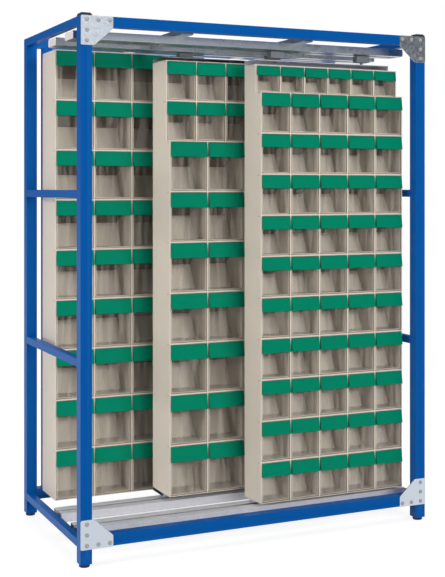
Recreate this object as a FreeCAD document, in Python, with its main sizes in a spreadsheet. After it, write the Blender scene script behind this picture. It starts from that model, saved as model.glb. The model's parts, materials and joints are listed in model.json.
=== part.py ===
"""Sliding tilt-bin storage rack: a steel frame, one fixed and two sliding panels of bins.

Millimetres, +Z up, +X to the right and -Y to the front. The origin is on the floor, under
the middle of the frame. Every sub-part is an object whose Label names its STEP file.
"""

import FreeCAD, Part
import os
import re
import Sketcher

SIZES = [
    # frame
    ("frame_width", 1350, "over the outer faces of the posts"),
    ("frame_depth", 705, "over the outer faces of the posts"),
    ("post_top", 1816, "height of the top of the posts and top beams"),
    ("post_side", 40, "square tube of the posts"),
    ("tube_wall", 2, "wall of every steel tube"),
    ("foot_height", 11, "levelling foot under a post"),
    ("foot_radius", 18, "levelling foot under a post"),
    ("foot_edge", 3, "rounding under the foot"),
    ("plug_height", 24, "part of the foot that sits in the post"),
    ("plug_gap", 0.2, "room round a plug in its tube"),
    ("cap_height", 10, "top cap over a post"),
    ("cap_bevel", 5, "bevel round the cap"),
    ("beam_height", 39, "bottom beams"),
    ("top_beam_height", 34, "top beams"),
    ("bottom_beam_base", 62, "underside of the bottom beams"),
    ("rung_height", 27, "side beams and side rungs"),
    ("side_bar_width", 25, "side beams and side rungs, across"),
    ("upper_rung_base", 1214, "underside of the upper side rungs"),
    ("lower_rung_base", 657, "underside of the lower side rungs"),
    # corner gussets and bolts
    ("gusset_width", 113, "gusset along the beam"),
    ("gusset_height", 98, "gusset along the post"),
    ("gusset_beam_leg", 39, "height of the gusset's end on the beam"),
    ("gusset_post_leg", 47, "width of the gusset's end on the post"),
    ("gusset_sheet", 3, "plate"),
    ("gusset_overhang", 2, "how far a bottom gusset reaches below the beam"),
    ("bolt_edge_across", 21.5, "first bolt from the corner, along the beam"),
    ("bolt_edge_up", 13.5, "first bolt from the corner, along the post"),
    ("bolt_pitch_across", 40, "bolt to bolt along the beam"),
    ("bolt_pitch_up", 35, "bolt to bolt along the post"),
    ("bolt_radius", 3, "shank"),
    ("bolt_head_radius", 5.6, "hexagon head, centre to corner"),
    ("bolt_head_height", 4, "hexagon head"),
    ("bolt_length", 9, "shank under the head"),
    ("bolt_gap", 0.1, "room round a bolt in its hole"),
    # rails over the sliding panels, tracks under them
    ("rail_width", 92, "top rail and bottom track"),
    ("rail_drop", 39, "top of the posts to the top of the rails"),
    ("track_height", 30, "bottom track"),
    ("rail_wall", 2, "sheet of rail and track"),
    ("rail_slot", 18, "slot of rail and track"),
    ("rail_left_inset", 6, "rail's left end from the frame's outer face"),
    ("rail_right_inset", 37, "rail's right end from the frame's outer face"),
    ("rail_end_sheet", 2, "plate over each end of a rail"),
    ("cross_width", 44, "rail cross members"),
    ("cross_height", 20, "rail cross members"),
    ("cross_sheet", 3, "rail cross members"),
    ("cross_left", 398, "middle of the left cross member from the frame's left face"),
    ("cross_right", 869, "middle of the right cross member from the frame's left face"),
    # modules: a housing with a row of bins
    ("module_width", 600, "housing"),
    ("side_wall", 4, "ends of a housing"),
    ("partition", 5, "between two bins of a housing"),
    ("shelf_wall", 3, "top and bottom of a housing"),
    ("back_wall", 3, "back of a housing"),
    ("six_row_height", 101, "housing of six bins"),
    ("five_row_height", 148, "housing of five bins"),
    ("four_row_height", 185, "housing of four bins"),
    ("six_row_depth", 91, "housing of six bins"),
    ("five_row_depth", 133, "housing of five bins"),
    ("four_row_depth", 168, "housing of four bins"),
    ("notch_length", 9, "slot in a housing's end wall, along the depth"),
    ("notch_height", 2.4, "slot in a housing's end wall"),
    ("notch_setback", 12, "slot in a housing's end wall, behind its front edge"),
    # bins and their front strips
    ("bin_side_gap", 0.6, "bin to partition or end wall"),
    ("bin_floor_gap", 0.5, "bin to the housing's floor"),
    ("bin_head_gap", 2, "top of the bin's front to the housing's ceiling"),
    ("bin_swing_gap", 0.8, "tilting bin to the housing's ceiling"),
    ("bin_back_gap", 8, "back of the bin to the housing's back wall"),
    ("bin_wall", 2, "wall of a bin"),
    ("bin_tilt", 45, "degrees that a bin tilts open"),
    ("pin_inset", 4, "middle of a bin's hinge pins from its front and from its floor"),
    ("pin_radius", 2, "hinge pin on each side of a bin"),
    ("pin_reach", 1.8, "hinge pin out of the bin's side"),
    ("pin_root", 1, "hinge pin into the bin's wall"),
    ("pin_gap", 0.15, "hinge pin in its hole"),
    ("pin_socket", 2, "depth of the hinge hole in a housing's end wall"),
    ("six_foot_depth", 55, "depth of the bin at its floor"),
    ("five_foot_depth", 82, "depth of the bin at its floor"),
    ("four_foot_depth", 105, "depth of the bin at its floor"),
    ("six_strip_height", 34, "green front strip"),
    ("five_strip_height", 47, "green front strip"),
    ("four_strip_height", 54, "green front strip"),
    ("strip_top_depth", 3, "strip at its top edge"),
    ("six_strip_depth", 9, "strip at its bottom edge"),
    ("five_strip_depth", 11, "strip at its bottom edge"),
    ("four_strip_depth", 12, "strip at its bottom edge"),
    ("strip_return", 5, "rise of the strip's underside towards the bin"),
    # rear panel
    ("rear_left", 62, "panel's left edge from the frame's left face"),
    ("rear_base", 94, "underside of its lowest housing"),
    ("upright_width", 40, "rear upright, along X"),
    ("upright_depth", 25, "rear upright, along Y"),
    # sliding panels
    ("middle_left", 420, "panel's left edge from the frame's left face"),
    ("middle_front", 258, "face of its deepest housings, from the frame's front face"),
    ("middle_base", 125.3, "underside of its lowest housing"),
    ("middle_hanger_height", 16, "hanger channel on top of the panel"),
    ("middle_bar_height", 14, "bar under its lowest housing"),
    ("front_right_inset", 52, "panel's right edge from the frame's right face"),
    ("front_front", 75, "face of its deepest housings, from the frame's front face"),
    ("front_base", 114, "underside of its lowest housing"),
    ("front_hanger_height", 20, "hanger channel on top of the panel"),
    ("front_bar_height", 6, "bar under its lowest housing"),
    ("hanger_right_inset", 30, "hanger channel's right end from the panel's right end"),
    ("hanger_lead", 17.5, "hanger channel and base bar in front of the middle of the rail"),
    ("hanger_sheet", 2.5, "hanger channel"),
    ("strap_width", 30, "strap behind the housings"),
    ("strap_sheet", 6, "strap behind the housings"),
    ("strap_inset", 60, "strap from the panel's end"),
    ("guide_length", 40, "block that runs in the bottom track"),
    ("guide_width", 12, "block that runs in the bottom track"),
    ("guide_floor_gap", 6, "guide block over the floor of the track"),
    ("guide_inset", 60, "guide block's middle from the panel's end"),
    # trolleys
    ("wheel_radius", 10.5, "wheel in the top rail"),
    ("wheel_width", 12, "wheel in the top rail"),
    ("wheel_offset", 20, "middle of a wheel from the middle of the rail"),
    ("wheel_running_gap", 0.3, "wheel over the rail's lip"),
    ("wheel_head_gap", 1.7, "wheel under the rail's top sheet"),
    ("axle_radius", 4, "axle of a wheelset"),
    ("axle_gap", 0.05, "axle in the trolley's bore"),
    ("trolley_length", 55, "block under the rail"),
    ("trolley_width", 30, "block under the rail"),
    ("middle_stem_show", 2.7, "stem between the middle panel's hanger channel and the block"),
    ("front_stem_show", 9, "stem between the front panel's hanger channel and the block"),
    ("trolley_drop", 2, "rail's underside to the block"),
    ("web_length", 40, "part of the trolley in the rail's slot"),
    ("web_width", 12, "part of the trolley in the rail's slot"),
    ("stem_radius", 5, "threaded stem of a trolley"),
    ("stem_gap", 0.3, "stem in the hanger channel's hole"),
    ("nut_radius", 9, "nut on the stem, centre to corner"),
    ("nut_height", 3.5, "nut on the stem"),
    ("trolley_left_inset", 95, "left trolley from the panel's left end"),
    ("trolley_right_inset", 140, "right trolley from the panel's right end"),
]

ALIASES = {alias for alias, value, note in SIZES}
KINDS = {6: "six", 5: "five", 4: "four"}
PANEL_ROWS = {
    "rear": [4] * 9,
    "middle": [5] * 2 + [4] * 7,
    "front": [6] + [5] * 10,
}

X_AXIS = FreeCAD.Vector(1, 0, 0)
Y_AXIS = FreeCAD.Vector(0, 1, 0)
Z_AXIS = FreeCAD.Vector(0, 0, 1)

document = FreeCAD.newDocument("TiltBinRack")
sheet = document.addObject("Spreadsheet::Sheet", "Sizes")
for line, (alias, value, note) in enumerate(SIZES, start=1):
    sheet.set(f"A{line}", alias)
    sheet.set(f"B{line}", str(value))
    sheet.set(f"C{line}", note)
    sheet.setAlias(f"B{line}", alias)
document.recompute()

nodes = []


def keep(alias, text, note):
    """Adds a size that follows others to the sheet."""
    line = len(ALIASES) + 1
    sheet.set(f"A{line}", alias)
    sheet.set(f"B{line}", f"={text}")
    sheet.set(f"C{line}", note)
    sheet.setAlias(f"B{line}", alias)
    document.recompute()
    ALIASES.add(alias)


def size(alias):
    """The number in the cell of that alias."""
    return float(sheet.get(alias))


def sized(text):
    """An expression in which every alias is read from the sheet."""
    return re.sub(
        "[a-z_]+", lambda word: f"Sizes.{word[0]}" if word[0] in ALIASES else word[0], text
    )


def bind(thing, **expressions):
    """Ties properties of an object to the sheet."""
    for name, text in expressions.items():
        thing.setExpression(name.replace("__", "."), sized(text))
    return thing


def place(thing, x="0", y="0", z="0", axis=Z_AXIS, degrees=0):
    """Puts an object at a place that follows the sheet, turned about an axis."""
    thing.Placement = FreeCAD.Placement(FreeCAD.Vector(), FreeCAD.Rotation(axis, degrees))
    for name, text in (("x", x), ("y", y), ("z", z)):
        if text != "0":
            thing.setExpression(f"Placement.Base.{name}", sized(text))
    return thing


def box(name, length, width, height, x="0", y="0", z="0"):
    """A block from its lowest corner."""
    thing = document.addObject("Part::Box", name)
    bind(thing, Length=length, Width=width, Height=height)
    return place(thing, x, y, z)


def cylinder(name, radius, height, x="0", y="0", z="0", axis=Z_AXIS, degrees=0):
    """A cylinder that starts at the point and stands along +Z before it is turned."""
    thing = document.addObject("Part::Cylinder", name)
    bind(thing, Radius=radius, Height=height)
    return place(thing, x, y, z, axis, degrees)


def hexagon(name, radius, height, x="0", y="0", z="0", axis=Z_AXIS, degrees=0):
    """A hexagonal prism that starts at the point."""
    thing = document.addObject("Part::Prism", name)
    thing.Polygon = 6
    bind(thing, Circumradius=radius, Height=height)
    return place(thing, x, y, z, axis, degrees)


def cut(name, base, tool):
    """The base without the tool."""
    thing = document.addObject("Part::Cut", name)
    thing.Base = base
    thing.Tool = tool
    return thing


def fuse(name, *members):
    """One solid of several."""
    thing = document.addObject("Part::MultiFuse", name)
    thing.Shapes = list(members)
    thing.Refine = True
    return thing


def group(name, members):
    """Several solids in one object, each as it is."""
    thing = document.addObject("Part::Compound", name)
    thing.Links = list(members)
    return thing


def copy_of(name, master, x="0", y="0", z="0", axis=Z_AXIS, degrees=0):
    """Another of the master, at a place of its own."""
    thing = document.addObject("App::Link", name)
    thing.LinkedObject = master
    return place(thing, x, y, z, axis, degrees)


def node(label, thing):
    """Names an object as a sub-part that is written to a file."""
    thing.Label = label
    nodes.append(thing)
    return thing


def outline(body, name, plane, points):
    """A closed sketch through the points, each a pair of expressions."""
    sketch = body.newObject("Sketcher::SketchObject", name)
    origin_plane = [f for f in body.Origin.OriginFeatures if f.Role == plane][0]
    sketch.AttachmentSupport = [(origin_plane, "")]
    sketch.MapMode = "FlatFace"
    count = len(points)
    ring = Part.makeCircle(count).discretize(count + 1)
    for index in range(count):
        sketch.addGeometry(Part.LineSegment(ring[index], ring[index + 1]))
    for index in range(count):
        sketch.addConstraint(Sketcher.Constraint("Coincident", index, 2, (index + 1) % count, 1))
    for index, point in enumerate(points):
        for kind, axis_line, text, start in (
            ("DistanceX", -2, point[0], ring[index].x),
            ("DistanceY", -1, point[1], ring[index].y),
        ):
            if text == "0":
                sketch.addConstraint(Sketcher.Constraint("PointOnObject", index, 1, axis_line))
                continue
            number = sketch.addConstraint(Sketcher.Constraint(kind, -1, 1, index, 1, start))
            label = f"{kind[-1].lower()}_of_point_{index}"
            sketch.renameConstraint(number, label)
            sketch.setExpression(f"Constraints.{label}", sized(text))
    return sketch


def padded(name, plane, points, length):
    """A body made by padding an outline."""
    body = document.addObject("PartDesign::Body", name)
    sketch = outline(body, name + "_outline", plane, points)
    pad = body.newObject("PartDesign::Pad", name + "_pad")
    pad.Profile = sketch
    bind(pad, Length=length)
    return body


# Places that several sub-parts share.
LEFT = "( 0 - frame_width / 2 )"
RIGHT = "( frame_width / 2 )"
FRONT = "( 0 - frame_depth / 2 )"
REAR = "( frame_depth / 2 )"
BETWEEN_X = "( frame_width - 2 * post_side )"
BETWEEN_Y = "( frame_depth - 2 * post_side )"
BETWEEN_BARS = "( frame_width - 2 * side_bar_width )"
TOP_BEAM_BASE = "( post_top - top_beam_height )"
RAIL_TOP = "( post_top - rail_drop )"
RAIL_BASE = f"( {RAIL_TOP} - rail_height )"
TRACK_TOP = "( bottom_beam_base + beam_height )"
AXLE_Z = f"( {RAIL_BASE} + rail_wall + wheel_running_gap + wheel_radius )"
REAR_PANEL_BACK = f"( {REAR} - post_side )"


def panel_left(panel):
    """The panel's left edge."""
    return f"( {LEFT} + {panel}_left )"


def panel_back(panel):
    """The plane of the backs of the panel's housings."""
    if panel == "rear":
        return REAR_PANEL_BACK
    return f"( {FRONT} + {panel}_front + {KINDS[min(PANEL_ROWS[panel])]}_row_depth )"


def row_base(panel, row):
    """The underside of a housing; rows count from the top."""
    below = PANEL_ROWS[panel][row + 1:]
    heights = " + ".join([f"{panel}_base"] + [f"{KINDS[bins]}_row_height" for bins in below])
    return f"( {heights} )"


def panel_top(panel):
    """The top of the highest housing."""
    return f"( {row_base(panel, 0)} + {KINDS[PANEL_ROWS[panel][0]]}_row_height )"


def rail_line(panel):
    """The middle of the rail and track that a sliding panel hangs in."""
    return f"( {panel_back(panel)} - {KINDS[min(PANEL_ROWS[panel])]}_row_depth / 2 )"


# Sizes that follow others: the front panel is set out from the right, a rail holds its wheels,
# and a trolley's block reaches from the stem to the rail.
keep(
    "front_left", "frame_width - front_right_inset - module_width",
    "panel's left edge from the frame's left face",
)
keep(
    "rail_height", "2 * rail_wall + wheel_running_gap + 2 * wheel_radius + wheel_head_gap",
    "top rail",
)
for panel in ("middle", "front"):
    stem_top = f"{panel_top(panel)} + {panel}_hanger_height + {panel}_stem_show"
    keep(
        f"{panel}_block_height", f"{RAIL_BASE} - trolley_drop - ( {stem_top} )",
        "panel's blocks under the rail",
    )


# ---------------------------------------------------------------- bolts and gussets

bolt_head = hexagon("bolt_head", "bolt_head_radius", "bolt_head_height")
bolt_shank = cylinder("bolt_shank", "bolt_radius", "bolt_length", axis=X_AXIS, degrees=180)
bolt = fuse("bolt", bolt_head, bolt_shank)
bolt_hole = group(
    "bolt_hole",
    [
        cylinder(
            "bolt_hole_pin", "bolt_radius + bolt_gap", "bolt_length", axis=X_AXIS, degrees=180
        )
    ],
)

gusset_blank = padded(
    "gusset_blank",
    "XZ_Plane",
    [
        ("0", "0"),
        ("gusset_width", "0"),
        ("gusset_width", "gusset_beam_leg"),
        ("gusset_post_leg", "gusset_height"),
        ("0", "gusset_height"),
    ],
    "gusset_sheet",
)
BOLT_SEATS = [(0, 0), (1, 0), (2, 0), (0, 1), (0, 2)]


def bolt_seat(across, up):
    """A gusset's bolt, measured from its corner along the beam and along the post."""
    return (
        f"( bolt_edge_across + {across} * bolt_pitch_across )",
        f"( bolt_edge_up + {up} * bolt_pitch_up )",
    )


gusset_holes = group(
    "gusset_holes",
    [
        cylinder(
            f"gusset_hole_{index}",
            "bolt_radius + bolt_gap",
            "gusset_sheet",
            x=bolt_seat(*seat)[0],
            z=bolt_seat(*seat)[1],
            axis=X_AXIS,
            degrees=90,
        )
        for index, seat in enumerate(BOLT_SEATS)
    ],
)
gusset = cut("gusset", gusset_blank, gusset_holes)

GUSSET_CORNER_LOW = "( bottom_beam_base - gusset_overhang )"
# Half turns put the same plate into each front corner, always on the face of the post.
PLATE_TURNS = {
    ("left", "bottom"): (Z_AXIS, 0, "0"),
    ("left", "top"): (X_AXIS, 180, "gusset_sheet"),
    ("right", "bottom"): (Z_AXIS, 180, "gusset_sheet"),
    ("right", "top"): (Y_AXIS, 180, "0"),
}
gussets, bolts, holes = [], [], []
for (side, level), (axis, degrees, behind) in PLATE_TURNS.items():
    name = f"{level}_{side}"
    corner_x, inward = (LEFT, "+") if side == "left" else (RIGHT, "-")
    corner_z, rise = (GUSSET_CORNER_LOW, "+") if level == "bottom" else ("post_top", "-")
    gussets.append(
        copy_of(f"gusset_{name}", gusset, corner_x, f"{FRONT} - {behind}", corner_z, axis, degrees)
    )
    for index, seat in enumerate(BOLT_SEATS):
        across, up = bolt_seat(*seat)
        at = (f"{corner_x} {inward} {across}", f"{FRONT} - gusset_sheet", f"{corner_z} {rise} {up}")
        bolts.append(copy_of(f"bolt_{name}_{index}", bolt, *at, X_AXIS, 90))
        holes.append(copy_of(f"hole_{name}_{index}", bolt_hole, *at, X_AXIS, 90))
node("gusset_plates", group("gusset_plates", gussets))
frame_holes = group("frame_holes", holes)


# ---------------------------------------------------------------- posts, caps and feet

POSTS = [
    (side, end, x, y)
    for end, y in (("front", FRONT), ("rear", f"{REAR} - post_side"))
    for side, x in (("left", LEFT), ("right", f"{RIGHT} - post_side"))
]


def tube(name, length, width, height, hollow, x="0", y="0", z="0"):
    """A rectangular tube that is open at both ends along the hollow axis."""
    reach = {"x": (0, 1, 1), "y": (1, 0, 1), "z": (1, 1, 0)}[hollow]
    inner_size = [
        f"{text} - 2 * tube_wall" if walled else text
        for text, walled in zip((length, width, height), reach)
    ]
    inner_at = [
        f"{text} + tube_wall" if walled else text for text, walled in zip((x, y, z), reach)
    ]
    outer = box(name + "_outer", length, width, height, x, y, z)
    inner = box(name + "_inner", *inner_size, *inner_at)
    return cut(name, outer, inner)


def drilled(name, blank, end):
    """A front frame member with the holes of the bolts that reach it; a rear one as it is."""
    return cut(name, blank, frame_holes) if end == "front" else blank


def post(side, end, x, y):
    """One post of the frame."""
    blank = tube(
        f"post_tube_{end}_{side}", "post_side", "post_side", "post_top - foot_height", "z",
        x, y, "foot_height",
    )
    return drilled(f"post_{end}_{side}", blank, end)


node("front_posts", group("front_posts", [post(*at) for at in POSTS if at[1] == "front"]))
node("rear_posts", group("rear_posts", [post(*at) for at in POSTS if at[1] == "rear"]))

cap_block = box(
    "cap_block", "post_side", "post_side", "cap_height", "0 - post_side / 2", "0 - post_side / 2"
)
document.recompute()
cap = document.addObject("Part::Chamfer", "cap")
cap.Base = cap_block
top_edges = [
    number
    for number, edge in enumerate(cap_block.Shape.Edges, start=1)
    if min(vertex.Z for vertex in edge.Vertexes) > cap_block.Height.Value / 2
]
bevel_size = min(size("cap_bevel"), size("cap_height") / 2)
cap.Edges = [(number, bevel_size, bevel_size) for number in top_edges]

foot_pad = cylinder("foot_pad", "foot_radius", "foot_height")
document.recompute()
foot_rounded = document.addObject("Part::Fillet", "foot_rounded")
foot_rounded.Base = foot_pad
foot_rounded.Edges = [
    (number, size("foot_edge"), size("foot_edge"))
    for number, edge in enumerate(foot_pad.Shape.Edges, start=1)
    if edge.BoundBox.ZMax < foot_pad.Height.Value / 2
]
PLUG_SIDE = "post_side - 2 * tube_wall - 2 * plug_gap"
foot_plug = box(
    "foot_plug", PLUG_SIDE, PLUG_SIDE, "plug_height",
    f"0 - ( {PLUG_SIDE} ) / 2", f"0 - ( {PLUG_SIDE} ) / 2", "foot_height",
)
foot = fuse("foot", foot_rounded, foot_plug)

caps, feet = [], []
for side, end, x, y in POSTS:
    middle_x, middle_y = f"{x} + post_side / 2", f"{y} + post_side / 2"
    if end == "front":
        caps.append(copy_of(f"cap_{side}", cap, middle_x, middle_y, "post_top"))
    feet.append(copy_of(f"foot_{end}_{side}", foot, middle_x, middle_y))
node("post_caps", group("post_caps", caps))
node("levelling_feet", group("levelling_feet", feet))


# ---------------------------------------------------------------- beams and rungs


def cross_beam(level, end, y, z, height):
    """A front or rear beam between two posts."""
    blank = tube(
        f"{level}_{end}_beam_tube", BETWEEN_X, "post_side", height, "x",
        f"{LEFT} + post_side", y, z,
    )
    return drilled(f"{level}_{end}_beam", blank, end)


for level, z, height in (
    ("top", TOP_BEAM_BASE, "top_beam_height"),
    ("bottom", "bottom_beam_base", "beam_height"),
):
    pair = [
        cross_beam(level, end, y, z, height)
        for end, y in (("front", FRONT), ("rear", f"{REAR} - post_side"))
    ]
    node(f"{level}_beams", group(f"{level}_beams", pair))


def side_bars(name, z):
    """Two tubes along the depth, each between a front post and a rear post."""
    return [
        tube(
            f"{side}_{name}", "side_bar_width", BETWEEN_Y, "rung_height", "y",
            x, f"{FRONT} + post_side", z,
        )
        for side, x in (("left", LEFT), ("right", f"{RIGHT} - side_bar_width"))
    ]


side_beams = side_bars("top_side_beam", "post_top - rung_height") + side_bars(
    "bottom_side_beam", "bottom_beam_base"
)
node("side_beams", group("side_beams", side_beams))
rungs = side_bars("upper_rung", "upper_rung_base") + side_bars("lower_rung", "lower_rung_base")
node("side_rungs", group("side_rungs", rungs))


# ---------------------------------------------------------------- rails, tracks, cross members


def c_points(height):
    """A C section with its slot in the bottom side, from its lower left corner."""
    lip = "( rail_width - rail_slot ) / 2"
    far_lip = "( rail_width + rail_slot ) / 2"
    return [
        ("0", "0"),
        (lip, "0"),
        (lip, "rail_wall"),
        ("rail_wall", "rail_wall"),
        ("rail_wall", f"{height} - rail_wall"),
        ("rail_width - rail_wall", f"{height} - rail_wall"),
        ("rail_width - rail_wall", "rail_wall"),
        (far_lip, "rail_wall"),
        (far_lip, "0"),
        ("rail_width", "0"),
        ("rail_width", height),
        ("0", height),
    ]


RAIL_LENGTH = "( frame_width - rail_left_inset - rail_right_inset )"
rail_blank = padded("rail_blank", "YZ_Plane", c_points("rail_height"), RAIL_LENGTH)
track = padded("track", "YZ_Plane", c_points("track_height"), BETWEEN_BARS)

CROSS_MIDDLES = {"left": f"( {LEFT} + cross_left )", "right": f"( {LEFT} + cross_right )"}
rail_bolts, rail_holes = [], []
for panel in ("front", "middle"):
    for side, cross_x in CROSS_MIDDLES.items():
        at = (cross_x, rail_line(panel), f"{RAIL_TOP} + cross_sheet")
        rail_bolts.append(
            fuse(
                f"rail_bolt_{panel}_{side}",
                hexagon(
                    f"rail_bolt_head_{panel}_{side}", "bolt_head_radius", "bolt_head_height", *at
                ),
                cylinder(
                    f"rail_bolt_shank_{panel}_{side}", "bolt_radius", "cross_sheet + rail_wall",
                    at[0], at[1], f"{RAIL_TOP} - rail_wall",
                ),
            )
        )
        rail_holes.append(
            cylinder(
                f"rail_hole_{panel}_{side}", "bolt_radius + bolt_gap",
                "cross_sheet + rail_wall", at[0], at[1], f"{RAIL_TOP} - rail_wall",
            )
        )
rail_drillings = group("rail_drillings", rail_holes)
node("frame_bolts", group("frame_bolts", bolts + rail_bolts))

rails, end_plates, tracks = [], [], {}
for panel in ("front", "middle"):
    rail_front = f"{rail_line(panel)} - rail_width / 2"
    placed = copy_of(
        f"rail_blank_{panel}", rail_blank, f"{LEFT} + rail_left_inset", rail_front, RAIL_BASE
    )
    rails.append(cut(f"rail_{panel}", placed, rail_drillings))
    for side, x in (
        ("left", f"{LEFT} + rail_left_inset - rail_end_sheet"),
        ("right", f"{RIGHT} - rail_right_inset"),
    ):
        end_plates.append(
            box(
                f"rail_end_{panel}_{side}", "rail_end_sheet", "rail_width", "rail_height",
                x, rail_front, RAIL_BASE,
            )
        )
    node(
        f"{panel}_bottom_track",
        copy_of(
            f"{panel}_bottom_track", track, f"{LEFT} + side_bar_width",
            f"{rail_line(panel)} + rail_width / 2", TRACK_TOP, X_AXIS, 180,
        ),
    )
node("top_rails", group("top_rails", rails))
node("rail_end_plates", group("rail_end_plates", end_plates))


def cross_member(side):
    """A channel, open at the top, that carries the rails between the top beams."""
    start = f"{CROSS_MIDDLES[side]} - cross_width / 2"
    outer = box(
        f"cross_outer_{side}", "cross_width", BETWEEN_Y, "cross_height",
        start, f"{FRONT} + post_side", RAIL_TOP,
    )
    inner = box(
        f"cross_inner_{side}", "cross_width - 2 * cross_sheet", BETWEEN_Y, "cross_height",
        f"{start} + cross_sheet", f"{FRONT} + post_side", f"{RAIL_TOP} + cross_sheet",
    )
    return cut(
        f"cross_member_{side}", cut(f"cross_channel_{side}", outer, inner), rail_drillings
    )


node(
    "rail_cross_members",
    group("rail_cross_members", [cross_member(side) for side in CROSS_MIDDLES]),
)


# ---------------------------------------------------------------- housings


def cell_pitch(bins):
    """From one bin of a housing to the next."""
    return f"( ( module_width - 2 * side_wall + partition ) / {bins} )"


def housing(bins):
    """One moulding with a cell for each bin, open at the front."""
    kind = KINDS[bins]
    block = box(
        f"{kind}_housing_block", "module_width", f"{kind}_row_depth", f"{kind}_row_height"
    )
    cells = [
        box(
            f"{kind}_cell_{index}",
            f"{cell_pitch(bins)} - partition",
            f"{kind}_row_depth - back_wall",
            f"{kind}_row_height - 2 * shelf_wall",
            f"side_wall + {index} * {cell_pitch(bins)}",
            "0",
            "shelf_wall",
        )
        for index in range(bins)
    ]
    notches = [
        box(
            f"{kind}_notch_{side}", "side_wall", "notch_length", "notch_height",
            x, "notch_setback", f"{kind}_row_height - shelf_wall - notch_height",
        )
        for side, x in (("left", "0"), ("right", "module_width - side_wall"))
    ]
    hinge_hole = cylinder(
        f"{kind}_hinge_hole", "pin_radius + pin_gap", "module_width - 2 * side_wall + 2 * pin_socket",
        "side_wall - pin_socket", "pin_inset", "shelf_wall + bin_floor_gap + pin_inset", Y_AXIS, 90,
    )
    openings = group(f"{kind}_cells", cells + notches + [hinge_hole])
    return cut(f"{kind}_housing", block, openings)


housings = {bins: housing(bins) for bins in KINDS}
for panel, rows in PANEL_ROWS.items():
    members = [
        copy_of(
            f"{panel}_housing_{row + 1}", housings[bins], panel_left(panel),
            f"{panel_back(panel)} - {KINDS[bins]}_row_depth", row_base(panel, row),
        )
        for row, bins in enumerate(rows)
    ]
    node(f"{panel}_modules", group(f"{panel}_modules", members))


# ---------------------------------------------------------------- bins and strips


def bin_width(bins):
    """Over the outside of a bin."""
    return f"( {cell_pitch(bins)} - partition - 2 * bin_side_gap )"


def front_height(kind):
    """The front wall of a bin."""
    return f"( {kind}_row_height - 2 * shelf_wall - bin_floor_gap - bin_head_gap )"


def bin_points(kind, inset):
    """The side view of a bin, from its front lower corner.

    The bin turns about its pins, so its lower front edge is rounded about them in three
    steps, and the top of its sides and its back are as high as the ceiling lets them swing.
    """
    front = front_height(kind)
    above_pin = f"( {front} - pin_inset )"
    ceiling = f"( {above_pin} + bin_head_gap - bin_swing_gap )"
    shoulder = f"( pin_inset + sqrt( {ceiling} * {ceiling} - {above_pin} * {above_pin} ) )"
    back = f"( {kind}_row_depth - back_wall - bin_back_gap )"
    swung = f"( {ceiling} / cos( bin_tilt ) - ( {back} - pin_inset ) * tan( bin_tilt ) )"
    back_height = f"( pin_inset + {swung} - 4 * bin_wall )"
    edge = "( pin_inset * tan( 15 ) )"
    foot_depth = f"{kind}_foot_depth"
    if inset == "0":
        return [
            ("0", f"pin_inset - {edge}"),
            (edge, edge),
            (f"pin_inset - {edge}", "0"),
            (foot_depth, "0"),
            (back, back_height),
            (shoulder, front),
            ("0", front),
        ]
    above = f"( {front} + {inset} )"
    slope = f"( ( {back} - {foot_depth} ) / {back_height} )"
    slant = f"( {inset} * sqrt( 1 + {slope} * {slope} ) )"
    return [
        (inset, inset),
        (f"{foot_depth} + {slope} * {inset} - {slant}", inset),
        (f"{foot_depth} + {slope} * {above} - {slant}", above),
        (inset, above),
    ]


def bin_master(bins):
    """A bin: its side view across its width, hollowed to its wall, with its hinge pins."""
    kind = KINDS[bins]
    outer = padded(f"{kind}_bin_outer", "YZ_Plane", bin_points(kind, "0"), bin_width(bins))
    inner = padded(
        f"{kind}_bin_inner", "YZ_Plane", bin_points(kind, "bin_wall"),
        f"{bin_width(bins)} - 2 * bin_wall",
    )
    hollow = copy_of(f"{kind}_bin_hollow", inner, "bin_wall")
    shell = cut(f"{kind}_bin_shell", outer, hollow)
    pins = [
        cylinder(
            f"{kind}_pin_{side}", "pin_radius", "pin_reach + pin_root", x, "pin_inset", "pin_inset",
            Y_AXIS, 90,
        )
        for side, x in (("left", "0 - pin_reach"), ("right", f"{bin_width(bins)} - pin_root"))
    ]
    return fuse(f"{kind}_bin", shell, *pins)


def strip_master(bins):
    """The front strip of a bin: its face leans out to its lower edge, where a finger pulls."""
    kind = KINDS[bins]
    depth, height = f"{kind}_strip_depth", f"{kind}_strip_height"
    return padded(
        f"{kind}_strip", "YZ_Plane",
        [
            ("0", "strip_return"),
            ("0", height),
            ("0 - strip_top_depth", height),
            (f"0 - {depth}", "strip_return / 2"),
            (f"0 - {depth}", "0"),
        ],
        bin_width(bins),
    )


bin_masters = {bins: bin_master(bins) for bins in KINDS}
strip_masters = {bins: strip_master(bins) for bins in KINDS}


def bin_and_strip(panel, row, index):
    """One bin of a row with its strip, closed."""
    bins = PANEL_ROWS[panel][row]
    kind = KINDS[bins]
    name = f"{panel}_{row + 1}_{index + 1}"
    x = f"{panel_left(panel)} + side_wall + bin_side_gap + {index} * {cell_pitch(bins)}"
    y = f"{panel_back(panel)} - {kind}_row_depth"
    z = f"{row_base(panel, row)} + shelf_wall + bin_floor_gap"
    strip_z = f"{z} + {front_height(kind)} - {kind}_strip_height"
    return [
        copy_of(f"bin_{name}", bin_masters[bins], x, y, z),
        copy_of(f"strip_{name}", strip_masters[bins], x, y, strip_z),
    ]


def free_bins(panel, row):
    """How many bins of a row, from the left, stand clear of the panel in front of it."""
    bins = PANEL_ROWS[panel][row]
    cover = {"rear": "middle_left", "middle": "front_left"}.get(panel)
    if cover is None:
        return bins
    pitch = (size("module_width") - 2 * size("side_wall") + size("partition")) / bins
    clear_width = size(cover) - size(f"{panel}_left") - size("side_wall")
    return max(1, min(bins, int(clear_width // pitch)))


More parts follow.
